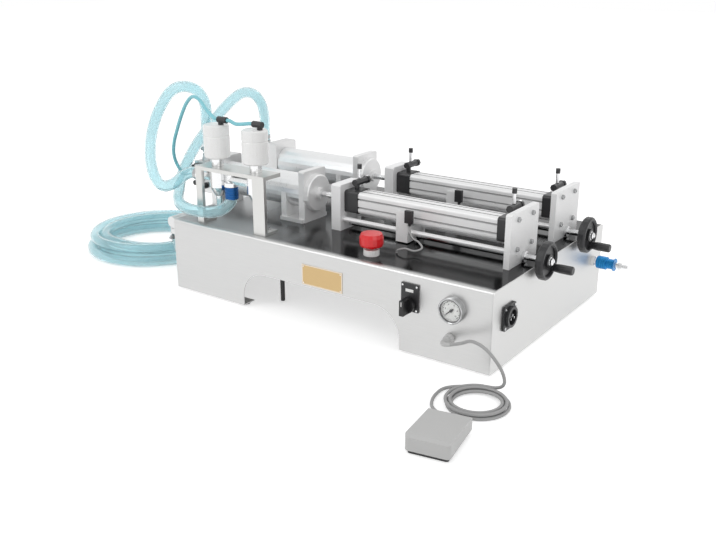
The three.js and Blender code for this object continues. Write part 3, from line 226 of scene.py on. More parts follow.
# %% [markdown]
# The suction hose hangs from the manifold and lies coiled beside the machine: it winds in on an
# upper layer, drops, and winds out on the floor, where it ends in a plain cut end, ready to be
# put into a tank. The pedal's cable is coiled in the same way, so one function draws both.

# %% The line of a coil
TURN_STEPS = 16


def coil_line(x, y, outer, pitch, lift, turns, start_degrees, radius):
    """A coil round x, y: pitch apart sideways, its first half on a layer that lies lift higher."""
    count = round(turns * TURN_STEPS)
    line = []
    for step in range(count + 1):
        turn = step / count * turns
        out = outer - pitch * min(turn, turns - turn)
        drop = min(max((turn - turns / 2) / 0.5 + 0.5, 0.0), 1.0)
        angle = math.radians(start_degrees) + turn * math.tau
        across, back = x + out * math.cos(angle), y + out * math.sin(angle)
        line.append(place(across, back, radius + lift * (1 - drop)))
    return line


def with_ends(line, radius):
    """The coil's line with one straight diameter before and after it."""
    first = (line[0] - line[1]).normalized() * 2 * radius * MM
    last = (line[-1] - line[-2]).normalized() * 2 * radius * MM
    first.z = last.z = 0.0
    return [line[0] + first, *line, line[-1] + last]


# %% Suction hose with its coil
suction_coil = with_ends(coil_line(
    x=-280, y=192, outer=170, pitch=27, lift=27, turns=3.86, start_degrees=20, radius=HOSE,
), HOSE)
suction_drop = smooth_line([
    *straight_end((-34, 40, 117.7), DOWN, HOSE), place(-42, 60, 62), place(-62, 100, 46),
    suction_coil[0] + (suction_coil[0] - suction_coil[1]).normalized() * HOSE * MM, suction_coil[0],
])
suction_line = [*evenly(suction_drop, 12), *suction_coil[1:]]
suction = lay_cord("hose_suction", suction_line, HOSE, 24)
suction_length = line_length(suction_drop) + line_length(suction_coil)
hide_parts("suction_hose", "suction_coil")
print("the suction hose is", round(suction_length, 2), "m long")

# %% [markdown]
# The pedal's cable arches out of its gland, drops to the floor and lies in a coil between the
# cabinet and the pedal. It is thinner and more limp than the hoses.

# %% Pedal cable
CABLE = 3.0
RIGHT_END = 800.0


def beside(x, y, z):
    """A place given from the cabinet's right end."""
    return place(RIGHT_END + x, y, z)


cable_coil = with_ends(coil_line(
    x=RIGHT_END + 30, y=-106, outer=56, pitch=7.5, lift=7, turns=4, start_degrees=94, radius=CABLE,
), CABLE)
cable_arch = smooth_line([
    *straight_end((715, -20.3, 57), FRONT, CABLE),
    *[beside(*spot) for spot in (
        (-76, -34, 59), (-59, -36, 64), (-41, -35, 71), (-23, -40, 81), (-8, -46, 84), (8, -50, 82),
        (23, -53, 75), (37, -54, 63), (47, -53, 49), (52, -51, 34), (51, -50, 21),
    )],
    cable_coil[0] + (cable_coil[0] - cable_coil[1]).normalized() * CABLE * MM, cable_coil[0],
])
PEDAL_TURN = math.radians(10)
pedal_corner = place(811, -307, 0)


def on_pedal(across, back, z):
    """A place given across and back from the pedal's front left corner."""
    turned_spot = Matrix.Rotation(PEDAL_TURN, 3, "Z") @ Vector((across, back, z))
    return pedal_corner + turned_spot * MM


pedal_boss = on_pedal(18, 113.3, 8)
pedal_back = (on_pedal(18, 114.3, 8) - pedal_boss).normalized()
cable_tail = smooth_line([
    cable_coil[-1], cable_coil[-1] + (cable_coil[-1] - cable_coil[-2]).normalized() * CABLE * MM,
    *[beside(*spot) for spot in (
        (2, -53, 3), (-26, -66, 3), (-44, -88, 3), (-45, -114, 3), (-38, -140, 3), (-26, -160, 4),
        (-10, -173, 6), (3, -183, 8),
    )],
    *[pedal_boss + pedal_back * step * CABLE * MM for step in (2, 1, 0)],
])
cable_line = [*evenly(cable_arch, 24), *cable_coil[1:-1], *evenly(cable_tail, 20)]
cable = lay_cord("pedal_lead", cable_line, CABLE, 16)
cable_length = line_length(cable_arch) + line_length(cable_coil) + line_length(cable_tail)
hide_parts("pedal_cable", "pedal_cable_coil", "pedal_cable_end")
print("the pedal's cable is", round(cable_length, 2), "m long")

# %% [markdown]
# Thin air tubes work the nozzles' actuators: one links the two actuators and one feeds them from
# the front valve block, inside the big hose loop. A sensor's lead bows over the deck.

# %% Air tubes and sensor lead
AIR, LEAD = 4.0, 2.0
AIR_Z = 393
link_line, link_length = routed(
    ((135.3, NOZZLE_Y, AIR_Z), RIGHT), [(164.5, 42, 389)],
    ((208.7, NOZZLE_Y, AIR_Z), LEFT), AIR, 15,
)
feed_line, feed_length = routed(
    ((109.7, NOZZLE_Y, AIR_Z), LEFT),
    [
        (74, 50, 408), (46, 56, 428), (20, 62, 431), (-6, 68, 414), (-32, 74, 382), (-55, 80, 347),
        (-73, 86, 318), (-84, 92, 289), (-84, 100, 261), (-70, 108, 239),
    ],
    ((-50, 137.62, 232), FRONT), AIR, 36,
)
CARRIAGE_X, CARRIAGE_LENGTH, HALF_SENSOR = 499.25, 28, 7
sensor_x = CARRIAGE_X + CARRIAGE_LENGTH + HALF_SENSOR
sensor_line, sensor_length = routed(
    ((sensor_x, 141.92, 205.7), DOWN),
    [(sensor_x + x, y, DECK + z) for x, y, z in (
        (14, 130, 23), (38, 118, 19), (52, 106, 13), (42, 96, 8), (22, 90, 11),
    )],
    ((sensor_x + 6, 86, 165.3), UP), LEAD, 24,
)


def drawn_mesh(thing):
    """The mesh that a curve or a text draws; the thing itself is removed."""
    bpy.context.view_layer.update()
    drawn = thing.evaluated_get(bpy.context.evaluated_depsgraph_get())
    mesh = bpy.data.meshes.new_from_object(drawn)
    bpy.data.objects.remove(thing)
    return mesh


def as_mesh(cord):
    """A cord's tube as a mesh of the same name."""
    name = cord.name
    piece = bpy.data.objects.new(name, drawn_mesh(cord))
    scene.collection.objects.link(piece)
    return piece


thin_cords = []
for name, node, line, length, radius in (
    ("tube_link", "air_link", link_line, link_length, AIR),
    ("tube_feed", "air_feed", feed_line, feed_length, AIR),
    ("lead_sensor", "sensor_lead", sensor_line, sensor_length, LEAD),
):
    thin = lay_cord(name, line, radius, 12)
    slides = name == "lead_sensor"
    if slides:
        thin = as_mesh(thin)
        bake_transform(thin)
    2 * radius * MM
    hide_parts(node)
    thin_cords.append(thin)
    print(name, "is", round(length, 3), "m long")

# %% [markdown]
# A material is a small network of nodes. Writing it as sums and products of sockets keeps it
# readable: the class below wraps a socket, and adding or multiplying it adds a Math node.

# %% Sockets that can be calculated with


class Wire:
    """One output socket of a material under construction."""

    def __init__(self, finish, socket):
        self.finish, self.socket = finish, socket

    def maths(self, operation, *values):
        return self.finish.node("ShaderNodeMath", {"operation": operation}, dict(enumerate(values)))

    def __add__(self, other):
        return self.maths("ADD", self, other)

    def __sub__(self, other):
        return self.maths("SUBTRACT", self, other)

    def __rsub__(self, other):
        return self.maths("SUBTRACT", other, self)

    def __mul__(self, other):
        return self.maths("MULTIPLY", self, other)

    def __pow__(self, other):
        return self.maths("POWER", self, other)

    def above(self, level):
        return self.maths("GREATER_THAN", self, level)

    def below(self, level):
        return self.maths("LESS_THAN", self, level)

    def kept(self):
        """The value held between 0 and 1."""
        return self.finish.node("ShaderNodeClamp", {}, {0: self})

    __radd__ = __add__


# %% A material under construction


class Finish:
    """A Principled material: each node comes from its method node()."""

    def __init__(self, name, **numbers):
        self.material = bpy.data.materials.new(name)
        self.material.use_nodes = True
        self.tree = self.material.node_tree
        self.shader = self.tree.nodes["Principled BSDF"]
        for socket, value in numbers.items():
            self.feed(self.shader.inputs[socket.replace("_", " ")], value)

    def feed(self, socket, value):
        if isinstance(value, Wire):
            self.tree.links.new(value.socket, socket)
        else:
            socket.default_value = value

    def node(self, kind, settings, inputs, output=0):
        """Adds a node with its settings and inputs, and gives one of its outputs."""
        made = self.tree.nodes.new(kind)
        for setting, value in settings.items():
            setattr(made, setting, value)
        for key, value in inputs.items():
            self.feed(made.inputs[key], value)
        return Wire(self, made.outputs[output])

    def to(self, **wires):
        """Feeds the shader's inputs; a name's underscores stand for spaces."""
        for socket, value in wires.items():
            self.feed(self.shader.inputs[socket.replace("_", " ")], value)
        return self


print("materials are written with", Finish.__name__, "and", Wire.__name__)

# %% [markdown]
# Most patterns on this machine are noise on the piece's own coordinates. Stretched along one
# direction it makes brush or lathe lines; left round it makes the clouds of handling and light
# wear that keep a large sheet from looking painted.

# %% Patterns


def spot(finish, axis=None):
    """Object coordinates in metres, or one of them."""
    whole = finish.node("ShaderNodeTexCoord", {}, {}, "Object")
    if axis is None:
        return whole
    return finish.node("ShaderNodeSeparateXYZ", {}, {0: whole}, axis)


def noise(finish, scale, detail=2.0, roughness=0.5):
    """Noise whose cells are 1 / scale metres long in X, Y and Z."""
    stretched = finish.node("ShaderNodeMapping", {}, {"Vector": spot(finish), "Scale": scale})
    return finish.node("ShaderNodeTexNoise", {}, {
        "Vector": stretched, "Scale": 1.0, "Detail": detail, "Roughness": roughness,
    })


def blend(finish, factor, first, second):
    """A mix of two colours."""
    return finish.node("ShaderNodeMix", {"data_type": "RGBA"}, {0: factor, 6: first, 7: second}, 2)


def relief(finish, height, distance, strength=1.0):
    """A bump of that many metres."""
    return finish.node("ShaderNodeBump", {}, {
        "Height": height, "Distance": distance, "Strength": strength,
    })


def tint(colour, factor):
    """A colour made lighter or darker, with full alpha."""
    return (*[min(part * factor, 1.0) for part in colour], 1.0)


# %% [markdown]
# Bare metal is a mirror that is scratched in one direction. The lines change its roughness and
# brightness a little and bend its reflections; the clouds stand for fingerprints and polish.
# The lines are well under a millimetre apart, as a grinding belt or a lathe tool leaves them.
# Blasted, coated and anodised parts scatter more light than a mirror: they are less metallic.

# %% Metals


def metal(name, colour, roughness, lines, contrast=0.06, metallic=1.0):
    """Lines gives the noise's scale in X, Y and Z; the smallest is the way that they run."""
    finish = Finish(name, Metallic=metallic, IOR=1.5)
    line = noise(finish, lines)
    cloud = noise(finish, (9, 9, 9))
    mixed = (line * 0.7 + cloud * 0.3).kept()
    return finish.to(
        Base_Color=blend(finish, mixed, tint(colour, 1 - contrast), tint(colour, 1 + contrast)),
        Roughness=(roughness + (line - 0.5) * 0.12 + (cloud - 0.5) * 0.06).kept(),
        Normal=relief(finish, line, 0.000005),
    )


end_steel = metal("end_panel_steel", (0.65, 0.65, 0.645), 0.42, (1600, 30, 1600), contrast=0.04)
stand_steel = metal("stand_steel", (0.62, 0.62, 0.605), 0.32, (1600, 1600, 60), contrast=0.05)
machined_steel = metal("machined_steel", (0.66, 0.66, 0.66), 0.34, (2600, 400, 2600), contrast=0.04)
tube_steel = metal("tube_steel", (0.86, 0.865, 0.87), 0.3, (2200, 60, 60), metallic=0.6)
bracket_steel = metal(
    "bracket_steel", (0.88, 0.88, 0.88), 0.38, (2600, 600, 2600), contrast=0.03, metallic=0.35,
)
turned_steel = metal("turned_steel", (0.74, 0.745, 0.75), 0.14, (2200, 90, 90), contrast=0.05)
bright_steel = metal("bright_steel", (0.78, 0.785, 0.79), 0.16, (90, 90, 2000), contrast=0.05)
plate_aluminium = metal(
    "plate_aluminium", (0.96, 0.96, 0.965), 0.36, (300, 120, 1500), contrast=0.03, metallic=0.12,
)
dark_steel = metal("screw_steel", (0.42, 0.425, 0.43), 0.24, (600, 600, 600), contrast=0.05)
collar_steel = metal(
    "collar_steel", (0.94, 0.93, 0.92), 0.45, (90, 90, 2000), contrast=0.04, metallic=0.0,
)
# The bezel's chrome has a darker colour than bright chrome, as a painted dark reflection all round
# it.
darkened_reflection_chrome = metal("bezel_chrome_painted_dark_reflection", (0.46, 0.465, 0.47), 0.08, (300, 300, 300), contrast=0.02)
gold_rim = metal("badge_rim", (0.68, 0.60, 0.50), 0.3, (60, 1500, 1500), contrast=0.05)
gold_field = metal("badge_field", (0.56, 0.405, 0.21), 0.36, (60, 1800, 1800), contrast=0.1)
deep_blue = metal(
    "deep_blue_anodised", (0.012, 0.11, 0.34), 0.28, (60, 60, 1500), contrast=0.15, metallic=0.6,
)
blue_metal = metal(
    "blue_anodised", (0.015, 0.24, 0.58), 0.26, (1500, 60, 60), contrast=0.15, metallic=0.6,
)
print("metals:", [m.material.name for m in (end_steel, machined_steel, turned_steel, darkened_reflection_chrome)])

# %% [markdown]
# Moulded plastics and paint are not mirrors: their colour is under a thin gloss. A fine grain in
# the bump breaks that gloss up, and a wide cloud gives the slight unevenness of a moulding.

# %% Plastics and paint


def moulded(name, colour, roughness, grain, depth, contrast=0.08, coat=0.0):
    """Grain is the scale of the fine noise, and depth is its height in metres."""
    finish = Finish(name, Metallic=0.0, Coat_Weight=coat, Coat_Roughness=0.12)
    fine = noise(finish, (grain, grain, grain))
    cloud = noise(finish, (22, 22, 22), 3.0)
    mixed = (fine * 0.4 + cloud * 0.6).kept()
    return finish.to(
        Base_Color=blend(finish, mixed, tint(colour, 1 - contrast), tint(colour, 1 + contrast)),
        Roughness=(roughness + (cloud - 0.5) * 0.18 + (fine - 0.5) * 0.08).kept(),
        Normal=relief(finish, fine, depth),
    )


black_paint = moulded("black_paint", (0.02, 0.021, 0.023), 0.3, 900, 0.00002, 0.25, 0.2)
black_plastic = moulded("black_plastic", (0.022, 0.022, 0.024), 0.38, 1400, 0.00002, 0.25)
switch_black = moulded("switch_black", (0.008, 0.008, 0.009), 0.3, 1400, 0.00001, 0.25)
white_enamel = moulded("white_enamel", (0.90, 0.90, 0.89), 0.26, 500, 0.00001, 0.03, 0.5)
red_plastic = moulded("red_plastic", (0.78, 0.016, 0.022), 0.3, 1200, 0.00001, 0.06, 0.15)
grey_plastic = moulded("grey_plastic", (0.56, 0.56, 0.555), 0.46, 1100, 0.00006, 0.05)
sheath = moulded("cable_sheath", (0.40, 0.40, 0.40), 0.48, 1600, 0.00003)
teal_tube = moulded("teal_tube", (0.22, 0.62, 0.70), 0.22, 700, 0.00001, coat=0.3)
print_black = moulded("dial_print", (0.03, 0.03, 0.032), 0.5, 900, 0.000004, 0.1)
insert_grey = moulded("socket_insert", (0.12, 0.12, 0.125), 0.42, 1300, 0.00003, 0.15)
print("plastics:", [m.material.name for m in (black_plastic, red_plastic, insert_grey)])

# %% [markdown]
# The liquid hoses are clear plastic with a pale blue tint. Light must pass through both walls, so
# the shader transmits most of it with little bending, and a thin wall is given to the hose below.
# Each wall takes a little red out of the light, which is why crossing hoses look bluer.

# %% Clear hose
clear_hose = Finish(
    "clear_hose", Metallic=0.0, IOR=1.2, Transmission_Weight=0.84, Coat_Weight=0.35,
    Coat_Roughness=0.06,
)
waves = noise(clear_hose, (18, 18, 18), 3.0)
clear_hose.to(
    Base_Color=blend(clear_hose, waves, (0.70, 0.92, 0.96, 1), (0.82, 0.95, 0.975, 1)),
    Roughness=(0.08 + (waves - 0.5) * 0.1).kept(),
    Normal=relief(clear_hose, waves, 0.0004),
)
HOSE_WALL = 3.2
for hose in (hose_1, hose_2, suction):
    wall = hose.modifiers.new("wall", "SOLIDIFY")
    wall.thickness = HOSE_WALL * MM
    wall.offset = -1.0
    hose.data.use_fill_caps = False
    hose.data.materials.append(clear_hose.material)
for thin, finish, slot_name in zip(
    thin_cords, (teal_tube, teal_tube, sheath), ("teal_tube", "teal_tube", "grey_cable"),
):
    thin.data.materials.append(finish.material)
cable.data.materials.append(sheath.material)
print("hoses with a wall:", hose_1.name, hose_2.name, suction.name)

# %% [markdown]
# Some solids of the frame are made of two real materials, such as a can with a black fitting on it.
# A mask worked out from the object's own coordinates switches between them, so that the mesh stays
# as it is. On the barrels the second finish is not a material but painted shade along the grooves.

# %% Two materials on one solid
RELIEF = 0.0001


def split(name, first, second, mask):
    """A material that shows the finish second where mask(finish) is 1, and first elsewhere.

    Each finish is (colour, roughness, metallic, scale of its grain, depth of its grain)."""
    finish = Finish(name)
    chosen = mask(finish)
    colours, numbers, bumps = [], [], []
    for colour, roughness, metallic, grain, depth in (first, second):
        fine = noise(finish, grain)
        colours.append(blend(finish, fine, tint(colour, 0.92), tint(colour, 1.06)))
        numbers.append((roughness + (fine - 0.5) * 0.14, metallic))
        bumps.append(fine * (depth / RELIEF))
    (rough_a, metal_a), (rough_b, metal_b) = numbers
    height = bumps[0] * (1 - chosen) + bumps[1] * chosen
    finish.colour = blend(finish, chosen, colours[0], colours[1])
    finish.roughness = (rough_a * (1 - chosen) + rough_b * chosen).kept()
    return finish.to(
        Base_Color=finish.colour,
        Roughness=finish.roughness,
        Metallic=chosen * (metal_b - metal_a) + metal_a,
        Normal=relief(finish, height, RELIEF),
    )


BLACK_PART = ((0.02, 0.02, 0.022), 0.38, 0.0, (1200, 1200, 1200), 0.00002)
STEEL_PART = ((0.59, 0.59, 0.587), 0.38, 1.0, (30, 1600, 1600), 0.000005)
ENAMEL_PART = ((0.95, 0.95, 0.94), 0.22, 0.0, (500, 500, 500), 0.000004)
ALUMINIUM_PART = ((0.97, 0.97, 0.975), 0.32, 0.1, (30, 2000, 2000), 0.000005)
# Painted shade: the dark grey that the barrels get along their grooves, where shade falls in the
# profile.
GROOVE_SHADE_PART = ((0.42, 0.42, 0.425), 0.5, 0.3, (30, 2000, 2000), 0.000005)
PLATE_PART = ((0.96, 0.96, 0.965), 0.36, 0.12, (300, 120, 1500), 0.000005)
GREY_PART = ((0.50, 0.50, 0.495), 0.46, 0.0, (1100, 1100, 1100), 0.00004)
BOLT_PART = ((0.34, 0.345, 0.35), 0.3, 1.0, (400, 400, 400), 0.00001)
CAP_PART = ((0.03, 0.03, 0.032), 0.34, 0.0, (900, 900, 900), 0.00002)
STEM_PART = ((0.80, 0.80, 0.81), 0.2, 1.0, (900, 900, 900), 0.000005)
CHROME_PART = ((0.84, 0.845, 0.85), 0.1, 1.0, (400, 400, 400), 0.000004)
PAPER_PART = ((0.94, 0.94, 0.92), 0.5, 0.0, (900, 900, 900), 0.000004)

# Levels and radii at which one finish changes to the other, in metres
FEET_TOP, PROP_RADIUS, PROP_TOP = 0.0038, 0.008, 0.16
CAN_TOP = (DECK + 217.2) * MM
SOLE_TOP = 0.012
STEM_BOTTOM, STEM_TOP = 0.2748, 0.295
DIAL_RADIUS = 0.0219


def distance(first, second):
    """The diagonal of a rectangle with the sides first and second."""
    return (first ** 2 + second ** 2) ** 0.5


def foot_or_prop(finish):
    x, y, z = (spot(finish, axis) for axis in "XYZ")
    prop = place(250, 76, 0)
    reach = distance(x - prop.x, y - prop.y)
    return (z.below(FEET_TOP) + reach.below(PROP_RADIUS) * z.below(PROP_TOP)).kept()


# Bands of painted shade along each barrel's grooves, 9 mm above, below and to either side of its
# axis.
def in_groove(finish):
    y, z = spot(finish, "Y"), spot(finish, "Z")
    groove, half_width = 9, 2 * MM
    inside = 0
    for side in (-groove, groove):
        across = [place(0, lane + side, 0).y for lane in LANES]
        level = place(0, 0, LANE_AXIS + side).z
        for value, middle in ((z, level), (y, across[0]), (y, across[1])):
            inside = inside + value.above(middle - half_width) * value.below(middle + half_width)
    return inside.kept()


def above_can(finish):
    return spot(finish, "Z").above(CAN_TOP)


def sensor_side(finish):
    y = spot(finish, "Y")
    sensor_back, between_lanes = 34.2, place(0, 300, 0).y
    backs = [place(0, lane - sensor_back, 0).y for lane in LANES]
    return (y.below(backs[0]) + y.below(backs[1]) * y.above(between_lanes)).kept()


def beyond_plate(finish):
    return spot(finish, "X").above(place(PLATE_FACE, 0, 0).x)


def sole(finish):
    return spot(finish, "Z").below(SOLE_TOP)


def stem_part(finish):
    z = spot(finish, "Z")
    return (z.above(STEM_BOTTOM) * z.below(STEM_TOP)).kept()


def dial_part(finish):
    x, y, z = (spot(finish, axis) for axis in "XYZ")
    middle, back = place(720, -8.4, 115), place(0, -7, 0).y
    reach = distance(x - middle.x, z - middle.z)
    return (reach.below(DIAL_RADIUS) * y.above(middle.y) * y.below(back)).kept()


cabinet_finish = split("cabinet_and_feet", STEEL_PART, BLACK_PART, foot_or_prop)
cap_finish = split("cap_and_stem", CAP_PART, STEM_PART, stem_part)
gauge_finish = split("gauge_case_and_dial", CHROME_PART, PAPER_PART, dial_part)
can_finish = split("can_and_elbow", ENAMEL_PART, BLACK_PART, above_can)
carriage_finish = split("carriage_and_sensor", PLATE_PART, BLACK_PART, sensor_side)
plate_finish = split("plate_and_bolts", PLATE_PART, BOLT_PART, beyond_plate)
# The barrels' second finish is painted shade in their grooves.
barrel_finish = split("barrel_and_painted_groove_shade", ALUMINIUM_PART, GROOVE_SHADE_PART, in_groove)
base_finish = split("pedal_base", GREY_PART, BLACK_PART, sole)

# %% [markdown]
# The deck of this machine is polished to a mirror where the cylinders stand. There its colour is
# painted nearly black, a painted dark reflection of the shade round and under the cylinders.
# Elsewhere its top is painted a mid grey, darker than the same sheet's front, as a painted
# reflection, so its front left part stays pale and brushed, and its front edge keeps the sheet's
# own colour. Smooth masks along X and Y keep the change as soft as in the photograph.

# %% Polished deck with painted dark reflection


def rise(finish, value, start, end):
    """Goes smoothly from 0 to 1 while the value goes from start to end."""
    return finish.node(
        "ShaderNodeMapRange", {"interpolation_type": "SMOOTHSTEP"}, {0: value, 1: start, 2: end},
    )


TOP_FACE = 0.1645
along, across, height = (spot(cabinet_finish, axis) for axis in "XYZ")


def rightward(start, end):
    return rise(cabinet_finish, along, place(start, 0, 0).x, place(end, 0, 0).x)


def backward(start, end):
    return rise(cabinet_finish, across, place(0, start, 0).y, place(0, end, 0).y)


# These masks place the deck's painted dark reflection: right of the stand and behind it, back from
# the front edge, on the top face only.
right_part = rightward(215, 300) * 0.45 + rightward(310, 352) * 0.55
behind_stand = rightward(60, 190) * backward(70, 125) * 0.9
polish_and_painted_dark_reflection = (
    (right_part + (1 - right_part) * behind_stand) * backward(6, 20) * height.above(TOP_FACE)
).kept()
# Painted reflection: the top face turns from the sheet's colour at its front edge to a flat mid
# grey further back.
deck_painted_grey_reflection = blend(
    cabinet_finish, height.above(TOP_FACE) * backward(3, 20), cabinet_finish.colour,
    (0.40, 0.41, 0.415, 1),
)
cabinet_finish.to(
    Base_Color=blend(cabinet_finish, polish_and_painted_dark_reflection, deck_painted_grey_reflection, (0.018, 0.019, 0.02, 1)),
    Roughness=(cabinet_finish.roughness * (1 - polish_and_painted_dark_reflection * 0.6)).kept(),
)
print("deck polish mask made")

# %% Finishes of the frame's solids
FINISHES = {
    "base_shell": cabinet_finish, "end_left": end_steel, "end_right": end_steel,
    "nozzle_stand": stand_steel, "suction_manifold": machined_steel, "inlet_nipple": turned_steel,
    "inlet_sleeve": blue_metal, "estop_collar": collar_steel, "estop_head": red_plastic,
    "selector_plate": black_plastic, "selector_knob": switch_black, "gauge_case": gauge_finish,
    "gauge_needle": black_paint, "cable_gland": grey_plastic, "side_socket": black_plastic,
    "pedal_base": base_finish, "pedal_treadle": grey_plastic,
}
LANE_FINISHES = {
    "left_plate": plate_aluminium, "right_plate": plate_finish, "cap_left": cap_finish,
    "cap_right": cap_finish, "barrel": barrel_finish, "drive_rod": turned_steel,
    "lead_screw": turned_steel, "handwheel": black_plastic, "crank_grip": black_plastic,
    "sensor_carriage": carriage_finish, "filling_tube": tube_steel,
    "end_bracket": bracket_steel, "valve_block": machined_steel, "nozzle": bright_steel,
    "nozzle_stem": bright_steel, "actuator": can_finish,
}
for part, finish in LANE_FINISHES.items():
    for lane in (1, 2):
        FINISHES[f"{part}_{lane}"] = finish
for node_name, finish in FINISHES.items():
    for slot in nodes[node_name].material_slots:
        slot.material = finish.material
missing = [n for n, o in nodes.items() if n not in FINISHES and not o.hide_render]
print("solids still without a finish:", missing)

# %% [markdown]
# Small parts are turned on a lathe, milled from a block or punched from sheet, and they are drawn
# the same way here: an outline is spun round a line, or a block gets its edges bevelled. A shape
# is drawn in millimetres and only then put into the scene, so its object needs no turn or scale.

# %% Shapes in millimetres


SHARP = math.radians(32)


class Shape:
    """A mesh under construction on the drawing's own axes."""

    def __init__(self):
        self.mesh = bmesh.new()

    def new_corners(self, known):
        return [corner for corner in self.mesh.verts if corner not in known]

    def stand(self, corners, at, out):
        """Puts corners drawn along Z onto the place at, pointing along out."""
        turn = Vector(out).to_track_quat("Z", "Y").to_matrix().to_4x4()
        bmesh.ops.transform(self.mesh, matrix=Matrix.Translation(at) @ turn, verts=corners)

    def turned(self, outline, at, out, steps):
        """Spins an outline of (radius, height) corners."""
        known = set(self.mesh.verts)
        corners = [self.mesh.verts.new((radius, 0, height)) for radius, height in outline]
        edges = [self.mesh.edges.new(pair) for pair in zip(corners, corners[1:])]
        bmesh.ops.spin(
            self.mesh, geom=[*corners, *edges], cent=(0, 0, 0), axis=(0, 0, 1), angle=math.tau,
            steps=steps, use_merge=True,
        )
        bmesh.ops.remove_doubles(self.mesh, verts=self.new_corners(known), dist=0.0005)
        self.stand(self.new_corners(known), at, out)

    def block(self, size, at, soft, turn=0.0):
        """A block with bevelled edges, turned by some degrees round Y."""
        known = set(self.mesh.verts)
        made = bmesh.ops.create_cube(self.mesh, size=1.0)["verts"]
        bmesh.ops.scale(self.mesh, vec=size, verts=made)
        edges = list({edge for corner in made for edge in corner.link_edges})
        bmesh.ops.bevel(
            self.mesh, geom=edges, offset=soft, affect="EDGES", segments=2, profile=0.5,
            material=-1,
        )
        matrix = Matrix.Translation(at) @ Matrix.Rotation(math.radians(turn), 4, "Y")
        bmesh.ops.transform(self.mesh, matrix=matrix, verts=self.new_corners(known))

    def drawn_out(self, edges, wider, step):
        """Extrudes edges along Z, and gives the new ones."""
        made = bmesh.ops.extrude_edge_only(self.mesh, edges=edges)["geom"]
        corners = [part for part in made if isinstance(part, bmesh.types.BMVert)]
        bmesh.ops.scale(self.mesh, vec=(wider, wider, 1), verts=corners)
        bmesh.ops.translate(self.mesh, vec=(0, 0, step), verts=corners)
        lines = [part for part in made if isinstance(part, bmesh.types.BMEdge)]
        return [line for line in lines if all(end in corners for end in line.verts)]

    def cap_screw(self, at, out, radius, height):
        """A screw head with a hexagon socket and a chamfered rim.

        The rim goes out over the chamfer and down the side, and the socket goes in."""
        known = set(self.mesh.verts)
        chamfer, overlap = radius * 0.12, 0.2
        rim = bmesh.ops.create_circle(self.mesh, segments=24, radius=radius * 0.88)["verts"]
        socket = bmesh.ops.create_circle(self.mesh, segments=6, radius=radius * 0.55)["verts"]
        rim_edges, socket_edges = (
            list({edge for corner in loop for edge in corner.link_edges}) for loop in (rim, socket)
        )
        bmesh.ops.translate(self.mesh, vec=(0, 0, height), verts=[*rim, *socket])
        bmesh.ops.bridge_loops(self.mesh, edges=[*rim_edges, *socket_edges])
        shoulder = self.drawn_out(rim_edges, 1 / 0.88, -chamfer)
        self.drawn_out(shoulder, 1.0, chamfer - height - overlap)
        floor = self.drawn_out(socket_edges, 1.0, -height * 0.5)
        bmesh.ops.contextual_create(self.mesh, geom=floor)
        self.stand(self.new_corners(known), at, out)

    def finished(self, name, finish, body="machine"):
        """Puts the shape into the scene as a piece that rides on a body."""
        bmesh.ops.recalc_face_normals(self.mesh, faces=self.mesh.faces)
        for face in self.mesh.faces:
            face.smooth = True
        for edge in self.mesh.edges:
            edge.smooth = edge.calc_face_angle(0.0) < SHARP
        to_scene = Matrix.Scale(MM, 4) @ Matrix.Translation(-DRAWING_ORIGIN)
        bmesh.ops.transform(self.mesh, matrix=to_scene, verts=self.mesh.verts)
        data = bpy.data.meshes.new(name)
        self.mesh.to_mesh(data)
        self.mesh.free()
        data.materials.append(finish.material)
        piece = bpy.data.objects.new(name, data)
        scene.collection.objects.link(piece)
        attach(piece, body)
        print(name, "has", len(data.polygons), "faces")
        return piece


# %% [markdown]
# A bare gold-coloured plate is riveted to the front panel. Its field is sunk a little inside a
# raised rim, which an inset of the front face makes.

# %% Badge
badge = Shape()
badge.block((102, 1.2, 44), (419, -0.55, 111), 0.5)
front = min(badge.mesh.faces, key=lambda face: face.calc_center_median().y)
bmesh.ops.inset_region(badge.mesh, faces=[front], thickness=2.4, depth=0.0)
bmesh.ops.inset_region(badge.mesh, faces=[front], thickness=0.4, depth=-0.35)
badge_piece = badge.finished("badge_plate", gold_rim)
badge_piece.data.materials.append(gold_field.material)
sunk = min(badge_piece.data.polygons, key=lambda face: -face.area * (face.normal.y < -0.9))
sunk.material_index = 1
rivets = Shape()
for x in (372.5, 465.5):
    for z in (93.5, 128.5):
        rivets.turned([(1.5, 0), (1.35, 0.6), (0.8, 0.95), (0, 1.05)], (x, -0.8, z), FRONT, 16)
rivets.finished("badge_rivets", bright_steel)

# %% [markdown]
# The pressure gauge has a chromed bezel, a printed white dial under a domed glass and a needle of
# its own. Ticks and numbers are thin shapes that lie on the dial. The numbers are text turned into
# a mesh, because a text object can't be baked later.

# %% Gauge
GAUGE = Vector((720.0, 0.0, 115.0))
bezel = Shape()
bezel.turned([
    (25.1, 2.0), (25.6, 2.5), (25.6, 11.4), (25.2, 12.8), (24.2, 13.5), (22.9, 13.6), (21.9, 13.0),
    (21.4, 11.6), (21.4, 8.3), (22.2, 8.3), (22.2, 12.4), (24.8, 12.4), (25.1, 2.0),
], GAUGE, FRONT, 64)
bezel.finished("gauge_bezel", darkened_reflection_chrome)
# The gasket is a dark rubber ring, which also stands in for the dark reflections at the bezel's
# inner edge: a painted reflection.
gasket_and_dark_reflection = Shape()
gasket_and_dark_reflection.turned([(20.6, 11.5), (20.6, 12.6), (21.1, 13.1), (21.9, 13.1), (21.9, 11.5), (20.6, 11.5)],
              GAUGE, FRONT, 48)
gasket_and_dark_reflection.finished("gauge_gasket_and_dark_reflection", insert_grey)

